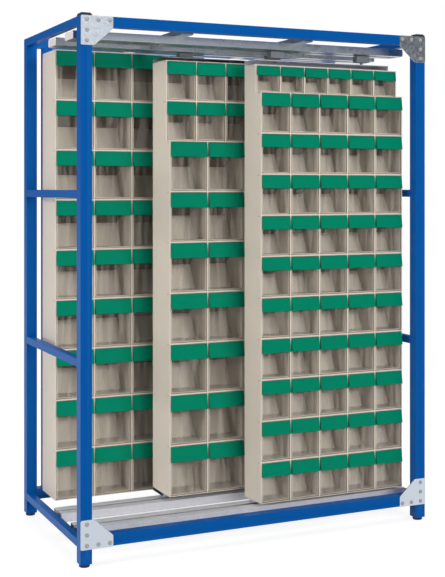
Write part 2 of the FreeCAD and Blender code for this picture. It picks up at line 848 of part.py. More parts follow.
for panel, rows in PANEL_ROWS.items():
    covered = []
    for row, bins in enumerate(rows):
        free = free_bins(panel, row)
        tilting = [piece for index in range(free) for piece in bin_and_strip(panel, row, index)]
        node(f"{panel}_row_{row + 1}", group(f"{panel}_row_{row + 1}", tilting))
        covered += [bin_and_strip(panel, row, index) for index in range(free, bins)]
    if covered:
        for name, members in zip(("bins", "strips"), zip(*covered)):
            node(f"{panel}_{name}_covered", group(f"{panel}_{name}_covered", members))


# ---------------------------------------------------------------- rear uprights

upright_places = {
    "left": panel_left("rear"),
    "right": f"{panel_left('rear')} + module_width - upright_width",
}
uprights = [
    tube(
        f"upright_{side}", "upright_width", "upright_depth",
        f"{TOP_BEAM_BASE} - {TRACK_TOP}", "z", x, REAR_PANEL_BACK, TRACK_TOP,
    )
    for side, x in upright_places.items()
]
node("rear_uprights", group("rear_uprights", uprights))


# ---------------------------------------------------------------- sliding panel frames and trolleys


def bar_depth(panel):
    """Hanger channel and base bar, from their front edges to the backs of the housings."""
    return f"( {panel_back(panel)} - {rail_line(panel)} + hanger_lead )"


def trolley_middles(panel):
    """Where the two trolleys of a panel stand along X."""
    return {
        "left": f"( {panel_left(panel)} + trolley_left_inset )",
        "right": f"( {panel_left(panel)} + module_width - trolley_right_inset )",
    }


def panel_frame(panel):
    """Hanger channel, base bar and two straps that hold the housings together."""
    left, back, depth = panel_left(panel), panel_back(panel), bar_depth(panel)
    hanger_top = f"( {panel_top(panel)} + {panel}_hanger_height )"
    hanger_length = "( module_width - hanger_right_inset )"
    outer = box(
        f"{panel}_hanger_outer", hanger_length, depth, f"{panel}_hanger_height",
        left, f"{back} - {depth}", panel_top(panel),
    )
    inner = box(
        f"{panel}_hanger_inner", f"{hanger_length} - hanger_sheet", f"{depth} - hanger_sheet",
        f"{panel}_hanger_height - 2 * hanger_sheet",
        left, f"{back} - {depth}", f"{panel_top(panel)} + hanger_sheet",
    )
    stem_holes = [
        cylinder(
            f"{panel}_stem_hole_{side}", "stem_radius + stem_gap", "hanger_sheet",
            x, rail_line(panel), f"{hanger_top} - hanger_sheet",
        )
        for side, x in trolley_middles(panel).items()
    ]
    hanger = cut(
        f"{panel}_hanger", outer, group(f"{panel}_hanger_cuts", [inner] + stem_holes)
    )
    bar_base = f"( {panel}_base - {panel}_bar_height )"
    base_bar = tube(
        f"{panel}_base_bar", "module_width", depth, f"{panel}_bar_height", "x",
        left, f"{back} - {depth}", bar_base,
    )
    straps = [
        box(
            f"{panel}_strap_{side}", "strap_width", "strap_sheet",
            f"{hanger_top} - {bar_base}", x, back, bar_base,
        )
        for side, x in (
            ("left", f"{left} + strap_inset"),
            ("right", f"{left} + module_width - strap_inset - strap_width"),
        )
    ]
    return group(f"{panel}_panel_frame", [hanger, base_bar] + straps)


def guides(panel):
    """Two blocks under the base bar that run in the slot of the bottom track."""
    floor = f"( {TRACK_TOP} - track_height + rail_wall + guide_floor_gap )"
    return [
        box(
            f"{panel}_guide_{side}", "guide_length", "guide_width",
            f"{panel}_base - {panel}_bar_height - {floor}",
            f"{middle} - guide_length / 2", f"{rail_line(panel)} - guide_width / 2", floor,
        )
        for side, middle in (
            ("left", f"{panel_left(panel)} + guide_inset"),
            ("right", f"{panel_left(panel)} + module_width - guide_inset"),
        )
    ]


def trolley(panel, side, middle):
    """A block under the rail, a web in its slot with the axle's bore, and a stem with a nut."""
    line = rail_line(panel)
    block_base = f"( {RAIL_BASE} - trolley_drop - {panel}_block_height )"
    flange_low = f"( {panel_top(panel)} + {panel}_hanger_height - hanger_sheet )"
    nut_low = f"( {flange_low} - nut_height )"
    web_top = f"( {AXLE_Z} + 2 * axle_radius )"
    name = f"{panel}_{side}"
    block = box(
        f"trolley_block_{name}", "trolley_length", "trolley_width", f"{panel}_block_height",
        f"{middle} - trolley_length / 2", f"{line} - trolley_width / 2", block_base,
    )
    web = box(
        f"trolley_web_{name}", "web_length", "web_width", f"{web_top} - {block_base}",
        f"{middle} - web_length / 2", f"{line} - web_width / 2", block_base,
    )
    stem = cylinder(
        f"trolley_stem_{name}", "stem_radius", f"{block_base} - {nut_low}", middle, line, nut_low
    )
    bore = cylinder(
        f"trolley_bore_{name}", "axle_radius + axle_gap", "web_width",
        middle, f"{line} + web_width / 2", AXLE_Z, X_AXIS, 90,
    )
    nut = cut(
        f"trolley_nut_{name}",
        hexagon(f"nut_blank_{name}", "nut_radius", "nut_height", middle, line, nut_low),
        cylinder(f"nut_bore_{name}", "stem_radius", "nut_height", middle, line, nut_low),
    )
    return [cut(f"trolley_{name}", fuse(f"trolley_solid_{name}", block, web, stem), bore), nut]


def wheelset(panel, side, middle):
    """An axle with a wheel pressed on each end."""
    line = rail_line(panel)
    name = f"{panel}_{side}"
    reach = "( wheel_offset + wheel_width / 2 )"
    axle = cylinder(
        f"axle_{name}", "axle_radius", f"2 * {reach}",
        middle, f"{line} + {reach}", AXLE_Z, X_AXIS, 90,
    )
    wheels = []
    for end, sign in (("front", "-"), ("rear", "+")):
        edge = f"{line} {sign} wheel_offset + wheel_width / 2"
        disc = cylinder(
            f"wheel_disc_{end}_{name}", "wheel_radius", "wheel_width",
            middle, edge, AXLE_Z, X_AXIS, 90,
        )
        bore = cylinder(
            f"wheel_bore_{end}_{name}", "axle_radius", "wheel_width",
            middle, edge, AXLE_Z, X_AXIS, 90,
        )
        wheels.append(cut(f"wheel_{end}_{name}", disc, bore))
    return group(f"{panel}_wheelset_{side}", [axle] + wheels)


for panel in ("middle", "front"):
    node(f"{panel}_panel_frame", panel_frame(panel))
    fittings = guides(panel)
    for side, middle in trolley_middles(panel).items():
        fittings += trolley(panel, side, middle)
        node(f"{panel}_wheelset_{side}", wheelset(panel, side, middle))
    node(f"{panel}_trolleys", group(f"{panel}_trolleys", fittings))


# ---------------------------------------------------------------- build and export

document.recompute()
faults = [thing.Name for thing in document.Objects if {"Invalid", "Error"} & set(thing.State)]
if faults:
    raise RuntimeError(f"these objects failed to build: {faults}")

os.makedirs("parts", exist_ok=True)
shapes = {}
for thing in nodes:
    shape = Part.getShape(thing)
    if shape.isNull() or not shape.isValid() or not shape.Solids:
        raise RuntimeError(f"{thing.Label} is not a valid solid")
    shapes[thing.Label] = shape
for label, shape in shapes.items():
    shape.exportStep(f"parts/{label}.step")
solids = sum(len(shape.Solids) for shape in shapes.values())
print(f"{len(shapes)} sub-parts, {solids} solids")
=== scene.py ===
"""Looks of a sliding tilt-bin storage rack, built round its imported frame.

The rack is a blue powder-coated steel frame that holds one fixed and two sliding panels. Each
panel is a stack of ivory housings with clear bins that tilt out, and each bin carries a green
strip across its front. Lengths are in metres; a size in millimetres is multiplied by MM.
"""

from __future__ import annotations

import json
import logging
import math
from collections.abc import Sequence
from dataclasses import dataclass
from enum import Enum
from functools import cache

import bmesh
import bpy
from bmesh.types import BMesh, BMVert
from bpy.types import Material, Mesh, Node, NodeSocket, NodeTree, Object
from mathutils import Matrix, Vector

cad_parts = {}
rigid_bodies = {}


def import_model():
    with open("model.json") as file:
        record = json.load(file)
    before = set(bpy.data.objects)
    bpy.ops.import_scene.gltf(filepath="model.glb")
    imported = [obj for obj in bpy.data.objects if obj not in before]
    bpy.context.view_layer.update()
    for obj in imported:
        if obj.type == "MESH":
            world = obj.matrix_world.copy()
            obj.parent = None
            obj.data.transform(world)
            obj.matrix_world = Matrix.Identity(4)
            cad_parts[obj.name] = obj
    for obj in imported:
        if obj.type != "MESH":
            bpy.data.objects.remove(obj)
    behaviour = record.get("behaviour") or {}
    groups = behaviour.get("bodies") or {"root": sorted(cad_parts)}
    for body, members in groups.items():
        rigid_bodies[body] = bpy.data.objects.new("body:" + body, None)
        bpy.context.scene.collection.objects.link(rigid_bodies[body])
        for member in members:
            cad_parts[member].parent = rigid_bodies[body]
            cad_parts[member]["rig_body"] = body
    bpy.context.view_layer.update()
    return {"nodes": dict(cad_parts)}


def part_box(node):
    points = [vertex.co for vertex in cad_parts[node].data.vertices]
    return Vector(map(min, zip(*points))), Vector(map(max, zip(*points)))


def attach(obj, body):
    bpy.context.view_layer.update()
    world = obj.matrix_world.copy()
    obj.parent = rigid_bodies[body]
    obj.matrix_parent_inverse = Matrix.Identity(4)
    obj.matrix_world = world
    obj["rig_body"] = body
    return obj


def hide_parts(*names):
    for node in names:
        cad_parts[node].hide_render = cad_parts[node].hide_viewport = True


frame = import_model()

MM = 0.001
MERGE = 0.01 * MM  # corners nearer than this are one corner
FLAT = math.radians(0.5)  # faces that turn by less are one flat face
SHARP = math.radians(35)  # edges that turn by more are rounded
MOSTLY = 0.9  # a unit vector with more than this along an axis lies along it
LARGE_FIRST = 100  # the weight at which shading follows the large faces beside an edge
log = logging.getLogger("rack")
Point = tuple[float, float, float]
Outline = Sequence[tuple[float, float]]


# ------------------------------------------------------------------ node and mesh helpers


def add_node(
    tree: NodeTree, kind: str, settings: dict | None = None, links: dict | None = None
) -> Node:
    """Adds one node to a tree.

    Args:
        tree: the node tree.
        kind: the node's Blender type name.
        settings: attributes and socket values, by name or by the socket's number.
        links: output sockets to join to this node's inputs, by name or number.

    Returns:
        The new node.
    """
    node = tree.nodes.new(kind)
    for key, value in (settings or {}).items():
        if isinstance(key, str) and hasattr(node, key):
            setattr(node, key, value)
        else:
            node.inputs[key].default_value = value
    for key, source in (links or {}).items():
        tree.links.new(source, node.inputs[key])
    return node


def linear(hex_colour: str, gain: float = 1.0) -> tuple[float, float, float, float]:
    """Turns an sRGB hex value to a linear colour.

    Args:
        hex_colour: such as "#0B5AA6".
        gain: what the linear value is multiplied by.

    Returns:
        Red, green, blue and 1.
    """
    parts = [int(hex_colour[at:at + 2], 16) / 255 for at in (1, 3, 5)]
    lin = [part / 12.92 if part <= 0.04045 else ((part + 0.055) / 1.055) ** 2.4 for part in parts]
    red, green, blue = (min(1.0, part * gain) for part in lin)
    return red, green, blue, 1.0


def opened(mesh: Mesh) -> BMesh:
    """Reads a mesh into a new bmesh.

    Args:
        mesh: the mesh, which stays.

    Returns:
        The bmesh.
    """
    shape = bmesh.new()
    shape.from_mesh(mesh)
    return shape


def written(shape: BMesh, name: str) -> Mesh:
    """Writes a bmesh to a new mesh as it is.

    Args:
        shape: the bmesh, which is used up.
        name: the mesh's name.

    Returns:
        The mesh.
    """
    mesh = bpy.data.meshes.new(name)
    shape.to_mesh(mesh)
    shape.free()
    return mesh


def mesh_from(shape: BMesh, name: str, smooth: bool = True) -> Mesh:
    """Turns a bmesh's faces outwards and writes it to a new mesh.

    Args:
        shape: the bmesh, which is used up.
        name: the mesh's name.
        smooth: whether its faces shade smoothly.

    Returns:
        The mesh.
    """
    bmesh.ops.recalc_face_normals(shape, faces=shape.faces)
    mesh = written(shape, name)
    mesh.polygons.foreach_set("use_smooth", [smooth] * len(mesh.polygons))
    return mesh


def placed(name: str, mesh: Mesh) -> Object:
    """Puts a mesh in the scene.

    Args:
        name: the object's name.
        mesh: its mesh.

    Returns:
        The object, which sits at the origin.
    """
    thing = bpy.data.objects.new(name, mesh)
    bpy.context.scene.collection.objects.link(thing)
    return thing


def settled(thing: Object, name: str) -> Mesh:
    """Turns an object with its modifiers into a plain mesh.

    Args:
        thing: the object, which is removed.
        name: the mesh's name.

    Returns:
        The mesh.
    """
    bpy.context.view_layer.update()
    evaluated = thing.evaluated_get(bpy.context.evaluated_depsgraph_get())
    mesh = bpy.data.meshes.new_from_object(evaluated)
    mesh.name = name
    bpy.data.objects.remove(thing)
    return mesh


def joined(name: str, meshes: Sequence[Mesh], places: Sequence[Matrix] = ()) -> Mesh:
    """Joins copies of meshes to one mesh.

    Args:
        name: the new mesh's name.
        meshes: one mesh for each copy.
        places: one matrix for each copy, where they don't stay where they are.

    Returns:
        The mesh, smooth where its parts are.
    """
    whole = bmesh.new()
    for at, mesh in enumerate(meshes):
        part = mesh.copy()
        if places:
            part.transform(places[at])
        whole.from_mesh(part)
        bpy.data.meshes.remove(part)
    return written(whole, name)


def soften(thing: Object, width: float, segments: int = 2) -> Object:
    """Rounds an object's sharp edges, and keeps its large faces flat.

    Args:
        thing: the object.
        width: how far the rounding reaches from an edge.
        segments: faces across the rounding.

    Returns:
        The same object.
    """
    bevel = thing.modifiers.new("rounded_edges", "BEVEL")
    bevel.width = width
    bevel.segments = segments
    bevel.limit_method = "ANGLE"
    bevel.angle_limit = SHARP
    bevel.use_clamp_overlap = True
    thing.data.polygons.foreach_set("use_smooth", [True] * len(thing.data.polygons))
    thing.modifiers.new("flat_faces", "WEIGHTED_NORMAL").weight = LARGE_FIRST
    return thing


def part_at_seams(
    shape: BMesh, seams: Sequence[float], near: float = 0.1 * MM, hair: float = 0.03 * MM
) -> None:
    """Draws each solid's corners a hair back from the seams that it ends at.

    Args:
        shape: the solids' triangles.
        seams: the heights at which one solid stands on another.
        near: how far from a seam a corner still counts as on it.
        hair: how far the corner is drawn back.
    """
    bmesh.ops.split_edges(shape, edges=shape.edges)
    for face in shape.faces:
        inside = face.calc_center_median() - face.normal * 2 * near
        for vert in face.verts:
            for seam in seams:
                if abs(vert.co.z - seam) < near:
                    vert.co.z = seam + (hair if inside.z > seam else -hair)


def clean_copy(node: str, name: str, seams: Sequence[float] = ()) -> Object:
    """Copies a node of the frame, with its triangles merged to whole faces.

    Args:
        node: the node.
        name: the copy's name.
        seams: heights at which one of its solids stands on another.

    Returns:
        The copy, with a hair of room at each seam, so that each solid keeps its own corners.
    """
    shape = opened(frame["nodes"][node].data)
    if seams:
        part_at_seams(shape, seams)
    bmesh.ops.remove_doubles(shape, verts=shape.verts, dist=MERGE)
    bmesh.ops.dissolve_limit(shape, angle_limit=FLAT, verts=shape.verts, edges=shape.edges)
    return placed(name, written(shape, name))


def prism(name: str, outline: Outline, depth: float) -> Mesh:
    """Makes a plate from an outline in X and Z, pushed along +Y.

    Args:
        name: the mesh's name.
        outline: the corners in order.
        depth: the plate's thickness.

    Returns:
        The mesh.
    """
    shape = bmesh.new()
    face = shape.faces.new([shape.verts.new((x, 0, z)) for x, z in outline])
    pushed = bmesh.ops.extrude_face_region(shape, geom=[face])["geom"]
    corners = [part for part in pushed if isinstance(part, BMVert)]
    bmesh.ops.translate(shape, verts=corners, vec=(0, depth, 0))
    return mesh_from(shape, name, smooth=False)


def turned(name: str, profile: Outline, steps: int = 40) -> Mesh:
    """Turns a profile about the Y axis to a solid.

    Args:
        name: the mesh's name.
        profile: pairs of radius and place along Y, which start and end on the axis.
        steps: faces round it.

    Returns:
        The mesh.
    """
    shape = bmesh.new()
    points = [shape.verts.new((radius, along, 0)) for radius, along in profile]
    edges = [shape.edges.new(pair) for pair in zip(points, points[1:])]
    bmesh.ops.spin(
        shape, geom=points + edges, cent=(0, 0, 0), axis=(0, 1, 0), angle=2 * math.pi, steps=steps
    )
    bmesh.ops.remove_doubles(shape, verts=shape.verts, dist=MERGE)
    return mesh_from(shape, name)


# ------------------------------------------------------------------ finishes


@dataclass(frozen=True)
class Finish:
    """A finish of the rack, and the record's slot that it belongs to."""

    name: str
    slot: str
    colour: str
    roughness: float
    ior: float = 1.5
    specular: float = 0.5
    metallic: float = 0.0
    alpha: float = 1.0
    drift: float = 0.05
    drift_mm: float = 160.0
    grain_mm: float = 2.0
    grain_depth_mm: float = 0.02

    def material(self) -> Material:
        """Makes the finish's material, once.

        Returns:
            The material, which all pieces of the finish share.
        """
        made = bpy.data.materials.get(self.name)
        if made:
            return made
        made = bpy.data.materials.new(self.name)
        made.use_nodes = True
        tree = made.node_tree
        tree.nodes.clear()
        shader = add_node(
            tree,
            "ShaderNodeBsdfPrincipled",
            {
                "Roughness": self.roughness,
                "IOR": self.ior,
                "Specular IOR Level": self.specular,
                "Metallic": self.metallic,
                "Alpha": self.alpha,
            },
        )
        self.dress(tree, shader, add_node(tree, "ShaderNodeTexCoord").outputs["Object"])
        add_node(tree, "ShaderNodeOutputMaterial", links={"Surface": shader.outputs["BSDF"]})
        return made

    def dress(self, tree: NodeTree, shader: Node, place: NodeSocket) -> None:
        """Adds the finish's own patterns: here its colours and its grain."""
        tree.links.new(self.colours(tree, place), shader.inputs["Base Color"])
        tree.links.new(self.grain(tree, place), shader.inputs["Normal"])

    def colours(self, tree: NodeTree, place: NodeSocket) -> NodeSocket:
        """Makes the colour drift a little darker and lighter from place to place.

        Args:
            tree: the material's tree.
            place: the object coordinates.

        Returns:
            The colour.
        """
        cloud = add_node(
            tree, "ShaderNodeTexNoise",
            {"Scale": 1 / (self.drift_mm * MM), "Detail": 3.0, "Roughness": 0.6},
            {"Vector": place},
        )
        low, high = (linear(self.colour, 1 + drift) for drift in (-self.drift, self.drift))
        mixed = add_node(
            tree, "ShaderNodeMix", {"data_type": "RGBA", 6: low, 7: high}, {0: cloud.outputs[0]}
        )
        return mixed.outputs[2]

    def grain(self, tree: NodeTree, place: NodeSocket) -> NodeSocket:
        """Makes the surface's grain.

        Args:
            tree: the material's tree.
            place: the object coordinates.

        Returns:
            A normal that shows the grain.
        """
        noise = add_node(
            tree, "ShaderNodeTexNoise", {"Scale": 1 / (self.grain_mm * MM), "Detail": 2.0},
            {"Vector": place},
        )
        bump = add_node(
            tree, "ShaderNodeBump", {"Strength": 0.6, "Distance": self.grain_depth_mm * MM},
            {"Height": noise.outputs[0]},
        )
        return bump.outputs["Normal"]


@dataclass(frozen=True)
class PowderCoat(Finish):
    """Sprayed and baked polyester powder: an even colour that is worn paler along edges."""

    worn_colour: str = "#3F7FC0"
    worn_from: float = 0.53
    worn_to: float = 0.62
    worn_share: float = 0.2

    def colours(self, tree: NodeTree, place: NodeSocket) -> NodeSocket:
        """Adds the rubbed edges, which Pointiness finds, to the drift.

        Args:
            tree: the material's tree.
            place: the object coordinates.

        Returns:
            The colour.
        """
        worn = add_node(
            tree, "ShaderNodeMapRange",
            {"From Min": self.worn_from, "From Max": self.worn_to, "To Max": self.worn_share},
            {"Value": add_node(tree, "ShaderNodeNewGeometry").outputs["Pointiness"]},
        )
        mixed = add_node(
            tree, "ShaderNodeMix", {"data_type": "RGBA", 7: linear(self.worn_colour)},
            {0: worn.outputs[0], 6: super().colours(tree, place)},
        )
        return mixed.outputs[2]


@dataclass(frozen=True)
class ZincSheet(Finish):
    """Hot-dip galvanised sheet: a soft metal with patches of crystal and a fine grain."""

    spangle_mm: float = 9.0
    spangle_depth: float = 0.16
    brighter: float = 0.05
    duller: float = 0.08

    def dress(self, tree: NodeTree, shader: Node, place: NodeSocket) -> None:
        """Adds the spangle to the colour and the roughness, and the grain to the normal.

        Args:
            tree: the material's tree.
            shader: the material's shader.
            place: the object coordinates.
        """
        crystals = add_node(
            tree, "ShaderNodeTexVoronoi", {"Scale": 1 / (self.spangle_mm * MM)}, {"Vector": place}
        )
        value = add_node(
            tree, "ShaderNodeSeparateColor", links={"Color": crystals.outputs["Color"]}
        ).outputs[0]
        dark = linear(self.colour, 1 - self.spangle_depth)
        light = linear(self.colour, 1 + self.spangle_depth / 2)
        mixed = add_node(
            tree, "ShaderNodeMix", {"data_type": "RGBA", 6: dark, 7: light}, {0: value}
        )
        sheen = add_node(
            tree, "ShaderNodeMapRange",
            {"To Min": self.roughness - self.brighter, "To Max": self.roughness + self.duller},
            {"Value": value},
        )
        tree.links.new(mixed.outputs[2], shader.inputs["Base Color"])
        tree.links.new(sheen.outputs[0], shader.inputs["Roughness"])
        tree.links.new(self.grain(tree, place), shader.inputs["Normal"])


@dataclass(frozen=True)
class InjectionMoulding(Finish):
    """Opaque plastic, with a painted shade that darkens the faces inside its cells."""

    # painted shade: the darker, browner colour of the faces inside the cells, where little light
    # reaches
    painted_shade_colour: str = "#867060"

    def colours(self, tree: NodeTree, place: NodeSocket) -> NodeSocket:
        """Adds painted shade on the inner faces, which the mesh marks, to the drift.

        Args:
            tree: the material's tree.
            place: the object coordinates.

        Returns:
            The colour.
        """
        inner = add_node(tree, "ShaderNodeAttribute", {"attribute_name": "inner_face"})
        mixed = add_node(
            tree, "ShaderNodeMix", {"data_type": "RGBA", 7: linear(self.painted_shade_colour)},
            {0: inner.outputs["Fac"], 6: super().colours(tree, place)},
        )
        return mixed.outputs[2]


@dataclass(frozen=True)
class ClearMoulding(Finish):
    """Crystal plastic: a polished front window, clear sides, and a frosted back and floor."""

    side_alpha: float = 0.44
    side_turn: tuple[float, float] = (0.4, 0.8)
    window_alpha: float = 0.02
    window_turn: tuple[float, float] = (0.95, 0.99)
    streak_alpha: float = 0.14
    streak_range: tuple[float, float] = (0.4, 0.8)
    streak_mm: tuple[float, float] = (17.0, 150.0)

    def dress(self, tree: NodeTree, shader: Node, place: NodeSocket) -> None:
        """Adds the walls' own clearness, by the way that each faces, and streaks of flow.

        Args:
            tree: the material's tree.
            shader: the material's shader.
            place: the object coordinates.
        """
        super().dress(tree, shader, place)
        facing = add_node(
            tree, "ShaderNodeSeparateXYZ",
            links={"Vector": add_node(tree, "ShaderNodeTexCoord").outputs["Normal"]},
        )
        sideways, ahead = (
            add_node(tree, "ShaderNodeMath", {"operation": "ABSOLUTE"}, {0: facing.outputs[way]})
            for way in ("X", "Y")
        )
        low, high = self.side_turn
        walls = add_node(
            tree, "ShaderNodeMapRange",
            {"From Min": low, "From Max": high, "To Min": self.alpha, "To Max": self.side_alpha},
            {"Value": sideways.outputs[0]},
        )
        across, along = (1 / (size * MM) for size in self.streak_mm)
        stretched = add_node(
            tree, "ShaderNodeMapping", {"Scale": (across, across, along)}, {"Vector": place}
        )
        flow = add_node(
            tree, "ShaderNodeTexNoise", {"Scale": 1.0, "Detail": 1.0},
            {"Vector": stretched.outputs["Vector"]},
        )
        low, high = self.streak_range
        clear, cloudy = self.window_alpha, self.streak_alpha
        streaks = add_node(
            tree, "ShaderNodeMapRange",
            {"From Min": low, "From Max": high, "To Min": clear, "To Max": cloudy},
            {"Value": flow.outputs[0]},
        )
        low, high = self.window_turn
        window = add_node(
            tree, "ShaderNodeMapRange", {"From Min": low, "From Max": high},
            {"Value": ahead.outputs[0], "To Min": walls.outputs[0], "To Max": streaks.outputs[0]},
        )
        tree.links.new(window.outputs[0], shader.inputs["Alpha"])


# Polyester powder over steel tube: saturated, softly glossy, with an orange peel of about
# 1.5 mm, drawn at 3 mm so that it shows.
BLUE = PowderCoat(
    "blue_polyester_powder_coat", "blue_enamel", "#015AAC", 0.38, specular=0.07, grain_mm=3.0,
    grain_depth_mm=0.05,
)
# Galvanised sheet of the rails, cross members and the middle panel's hanger frame: grey, half
# matt, with a faint spangle.
ZINC = ZincSheet(
    "galvanised_sheet_steel", "zinc_steel", "#B9BFC6", 0.32, metallic=0.92, grain_mm=4.0,
    spangle_depth=0.07,
)
# The bottom tracks: the same zinc, pale, and so dulled that it spreads the light like a pale paint.
# The front panel's hanger frame, the same part as the middle panel's, takes it as painted light:
# paler because it hangs in front in the light, where the middle one keeps the rail zinc.
TRACK_AND_LIT_HANGER_ZINC = ZincSheet(
    "worn_galvanised_track", "zinc_steel", "#E6E6EC", 0.45, metallic=0.25, grain_mm=4.0,
    spangle_depth=0.05,
)
# Gusset plates: the same sheet, new and unworn, so that it mirrors light and dark.
BRIGHT_ZINC = ZincSheet(
    "bright_galvanised_plate", "zinc_steel", "#C6CED8", 0.20, metallic=0.9, grain_mm=5.0,
    spangle_depth=0.03,
)
# Bolts: zinc plate passivated to a dulled grey, which stands out on the bright gussets.
BOLT = Finish(
    "passivated_zinc_bolts", "zinc_steel", "#AEB1B4", 0.40, metallic=0.1, grain_depth_mm=0.005
)
# Trolleys, nuts, axles and wheels: blackened steel, rubbed back to a satin grey.
BLACKENED = Finish(
    "blackened_steel", "dark_steel", "#8A9098", 0.42, metallic=0.5, grain_mm=1.5
)
# Caps and feet: moulded polyamide, nearly black, matt with a fine spark-eroded texture.
NYLON = Finish(
    "black_moulded_polyamide", "dark_plastic", "#2B3038", 0.55, specular=0.3, grain_mm=0.8,
    grain_depth_mm=0.04,
)
# Rail ends: a pale, slightly pink push-on moulding.
RAIL_END = Finish(
    "pale_moulded_rail_end", "ivory_plastic", "#F4ECEC", 0.45, specular=0.3, drift=0.02
)
# Housings: high-impact polystyrene, ivory, satin from the mould, with painted shade on the faces inside
# the cells.
IVORY = InjectionMoulding(
    "ivory_moulded_polystyrene", "ivory_plastic", "#F0E3D3", 0.46, ior=1.59, specular=0.2,
    drift=0.03, grain_mm=1.6, grain_depth_mm=0.03,
)
# Strips: the same plastic in a deep green, with a soft, weak gloss.
GREEN = Finish(
    "green_moulded_polystyrene", "green_plastic", "#008868", 0.42, ior=1.59, specular=0.06,
    drift=0.05, drift_mm=90.0, grain_mm=1.6,
)
# Bins: crystal polystyrene, thin and glossy; flow marks soften what is behind.
CLEAR = ClearMoulding(
    "clear_moulded_polystyrene", "clear_plastic", "#FBF1E2", 0.12, ior=1.59, specular=0.3,
    alpha=0.68, drift=0.02, grain_mm=26.0, grain_depth_mm=0.25,
)


def dress_piece(piece: Object, finish: Finish, node: str) -> None:
    """Gives a piece its finish, and stands it in a node's place.

    Args:
        piece: the finished piece.
        finish: what it is made of.
        node: the node that it stands for, and on whose body it rides.
    """
    piece.data.materials.clear()
    piece.data.materials.append(finish.material())
    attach(piece, frame["nodes"][node]["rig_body"])
    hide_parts(node)
    log.info("%s: %s", piece.name, finish.name)


def softened(node: str, name: str, finish: Finish, width: float, segments: int = 2) -> None:
    """Stands a copy of a node, with rounded edges and a finish, in the node's place."""
    dress_piece(soften(clean_copy(node, name), width, segments), finish, node)


# ------------------------------------------------------------------ geometry node trees


def new_tree(name: str, inputs: dict[str, str]) -> NodeTree:
    """Begins a geometry node tree that copies a master.

    Args:
        name: the tree's name.
        inputs: the name and the kind of each input besides the master and the finish.

    Returns:
        The tree, with its sockets and no nodes.
    """
    tree = bpy.data.node_groups.new(name, "GeometryNodeTree")
    for label, kind in {**inputs, "Master": "Object", "Finish": "Material"}.items():
        tree.interface.new_socket(label, in_out="INPUT", socket_type="NodeSocket" + kind)
    tree.interface.new_socket("Copies", in_out="OUTPUT", socket_type="NodeSocketGeometry")
    return tree


def stand_copies(tree: NodeTree, given: Node, links: dict[str, NodeSocket]) -> None:
    """Ends a tree: copies the master onto points, makes the copies real and dresses them.

    Args:
        tree: the tree.
        given: its input node.
        links: the points, and how the copies are turned.
    """
    master = add_node(tree, "GeometryNodeObjectInfo", links={"Object": given.outputs["Master"]})
    copies = add_node(
        tree, "GeometryNodeInstanceOnPoints",
        links={"Instance": master.outputs["Geometry"], **links},
    )
    whole = add_node(
        tree, "GeometryNodeRealizeInstances", links={"Geometry": copies.outputs["Instances"]}
    )
    dressed = add_node(
        tree, "GeometryNodeSetMaterial",
        links={"Geometry": whole.outputs["Geometry"], "Material": given.outputs["Finish"]},
    )
    add_node(tree, "NodeGroupOutput", links={0: dressed.outputs["Geometry"]})


@cache
def points_tree() -> NodeTree:
    """Makes the tree that stands a copy of a master on each point of a mesh.

    Returns:
        The tree.
    """
    tree = new_tree("copies_on_points", {"Points": "Geometry", "Turn": "Vector"})
    given = add_node(tree, "NodeGroupInput")
    links = {"Points": given.outputs["Points"], "Rotation": given.outputs["Turn"]}
    stand_copies(tree, given, links)
    return tree


@cache
def row_tree() -> NodeTree:
    """Makes the tree that repeats a master along X at a pitch.

    Returns:
        The tree.
    """
    tree = new_tree("copies_in_a_row", {"Count": "Int", "Pitch": "Float"})
    given = add_node(tree, "NodeGroupInput")
    step = add_node(tree, "ShaderNodeCombineXYZ", links={"X": given.outputs["Pitch"]})
    line = add_node(
        tree, "GeometryNodeMeshLine", {"mode": "OFFSET"},
        {"Count": given.outputs["Count"], "Offset": step.outputs["Vector"]},
    )
    stand_copies(tree, given, {"Points": line.outputs["Mesh"]})
    return tree


def grown(
    name: str, tree: NodeTree, master: Mesh, finish: Finish, points: Sequence[Point] = (),
    **inputs: object,
) -> Mesh:
    """Copies a master with a geometry node tree.

    Args:
        name: the name of the result.
        tree: the tree.
        master: what is copied.
        finish: what the copies are made of.
        points: the points of the mesh that the tree is given.
        inputs: values for the tree's other named inputs.

    Returns:
        One plain mesh of all the copies.
    """
    spots = bpy.data.meshes.new(name + "_spots")
    if points:
        spots.from_pydata(points, [], [])
    holder, model = placed(name, spots), placed(name + "_master", master)
    modifier = holder.modifiers.new("grown", "NODES")
    modifier.node_group = tree
    values = {**inputs, "Master": model, "Finish": finish.material()}
    for socket in tree.interface.items_tree:
        if socket.in_out == "INPUT" and socket.name in values:
            modifier[socket.identifier] = values[socket.name]
    result = settled(holder, name)
    bpy.data.objects.remove(model)
    return result


# ------------------------------------------------------------------ the steel frame


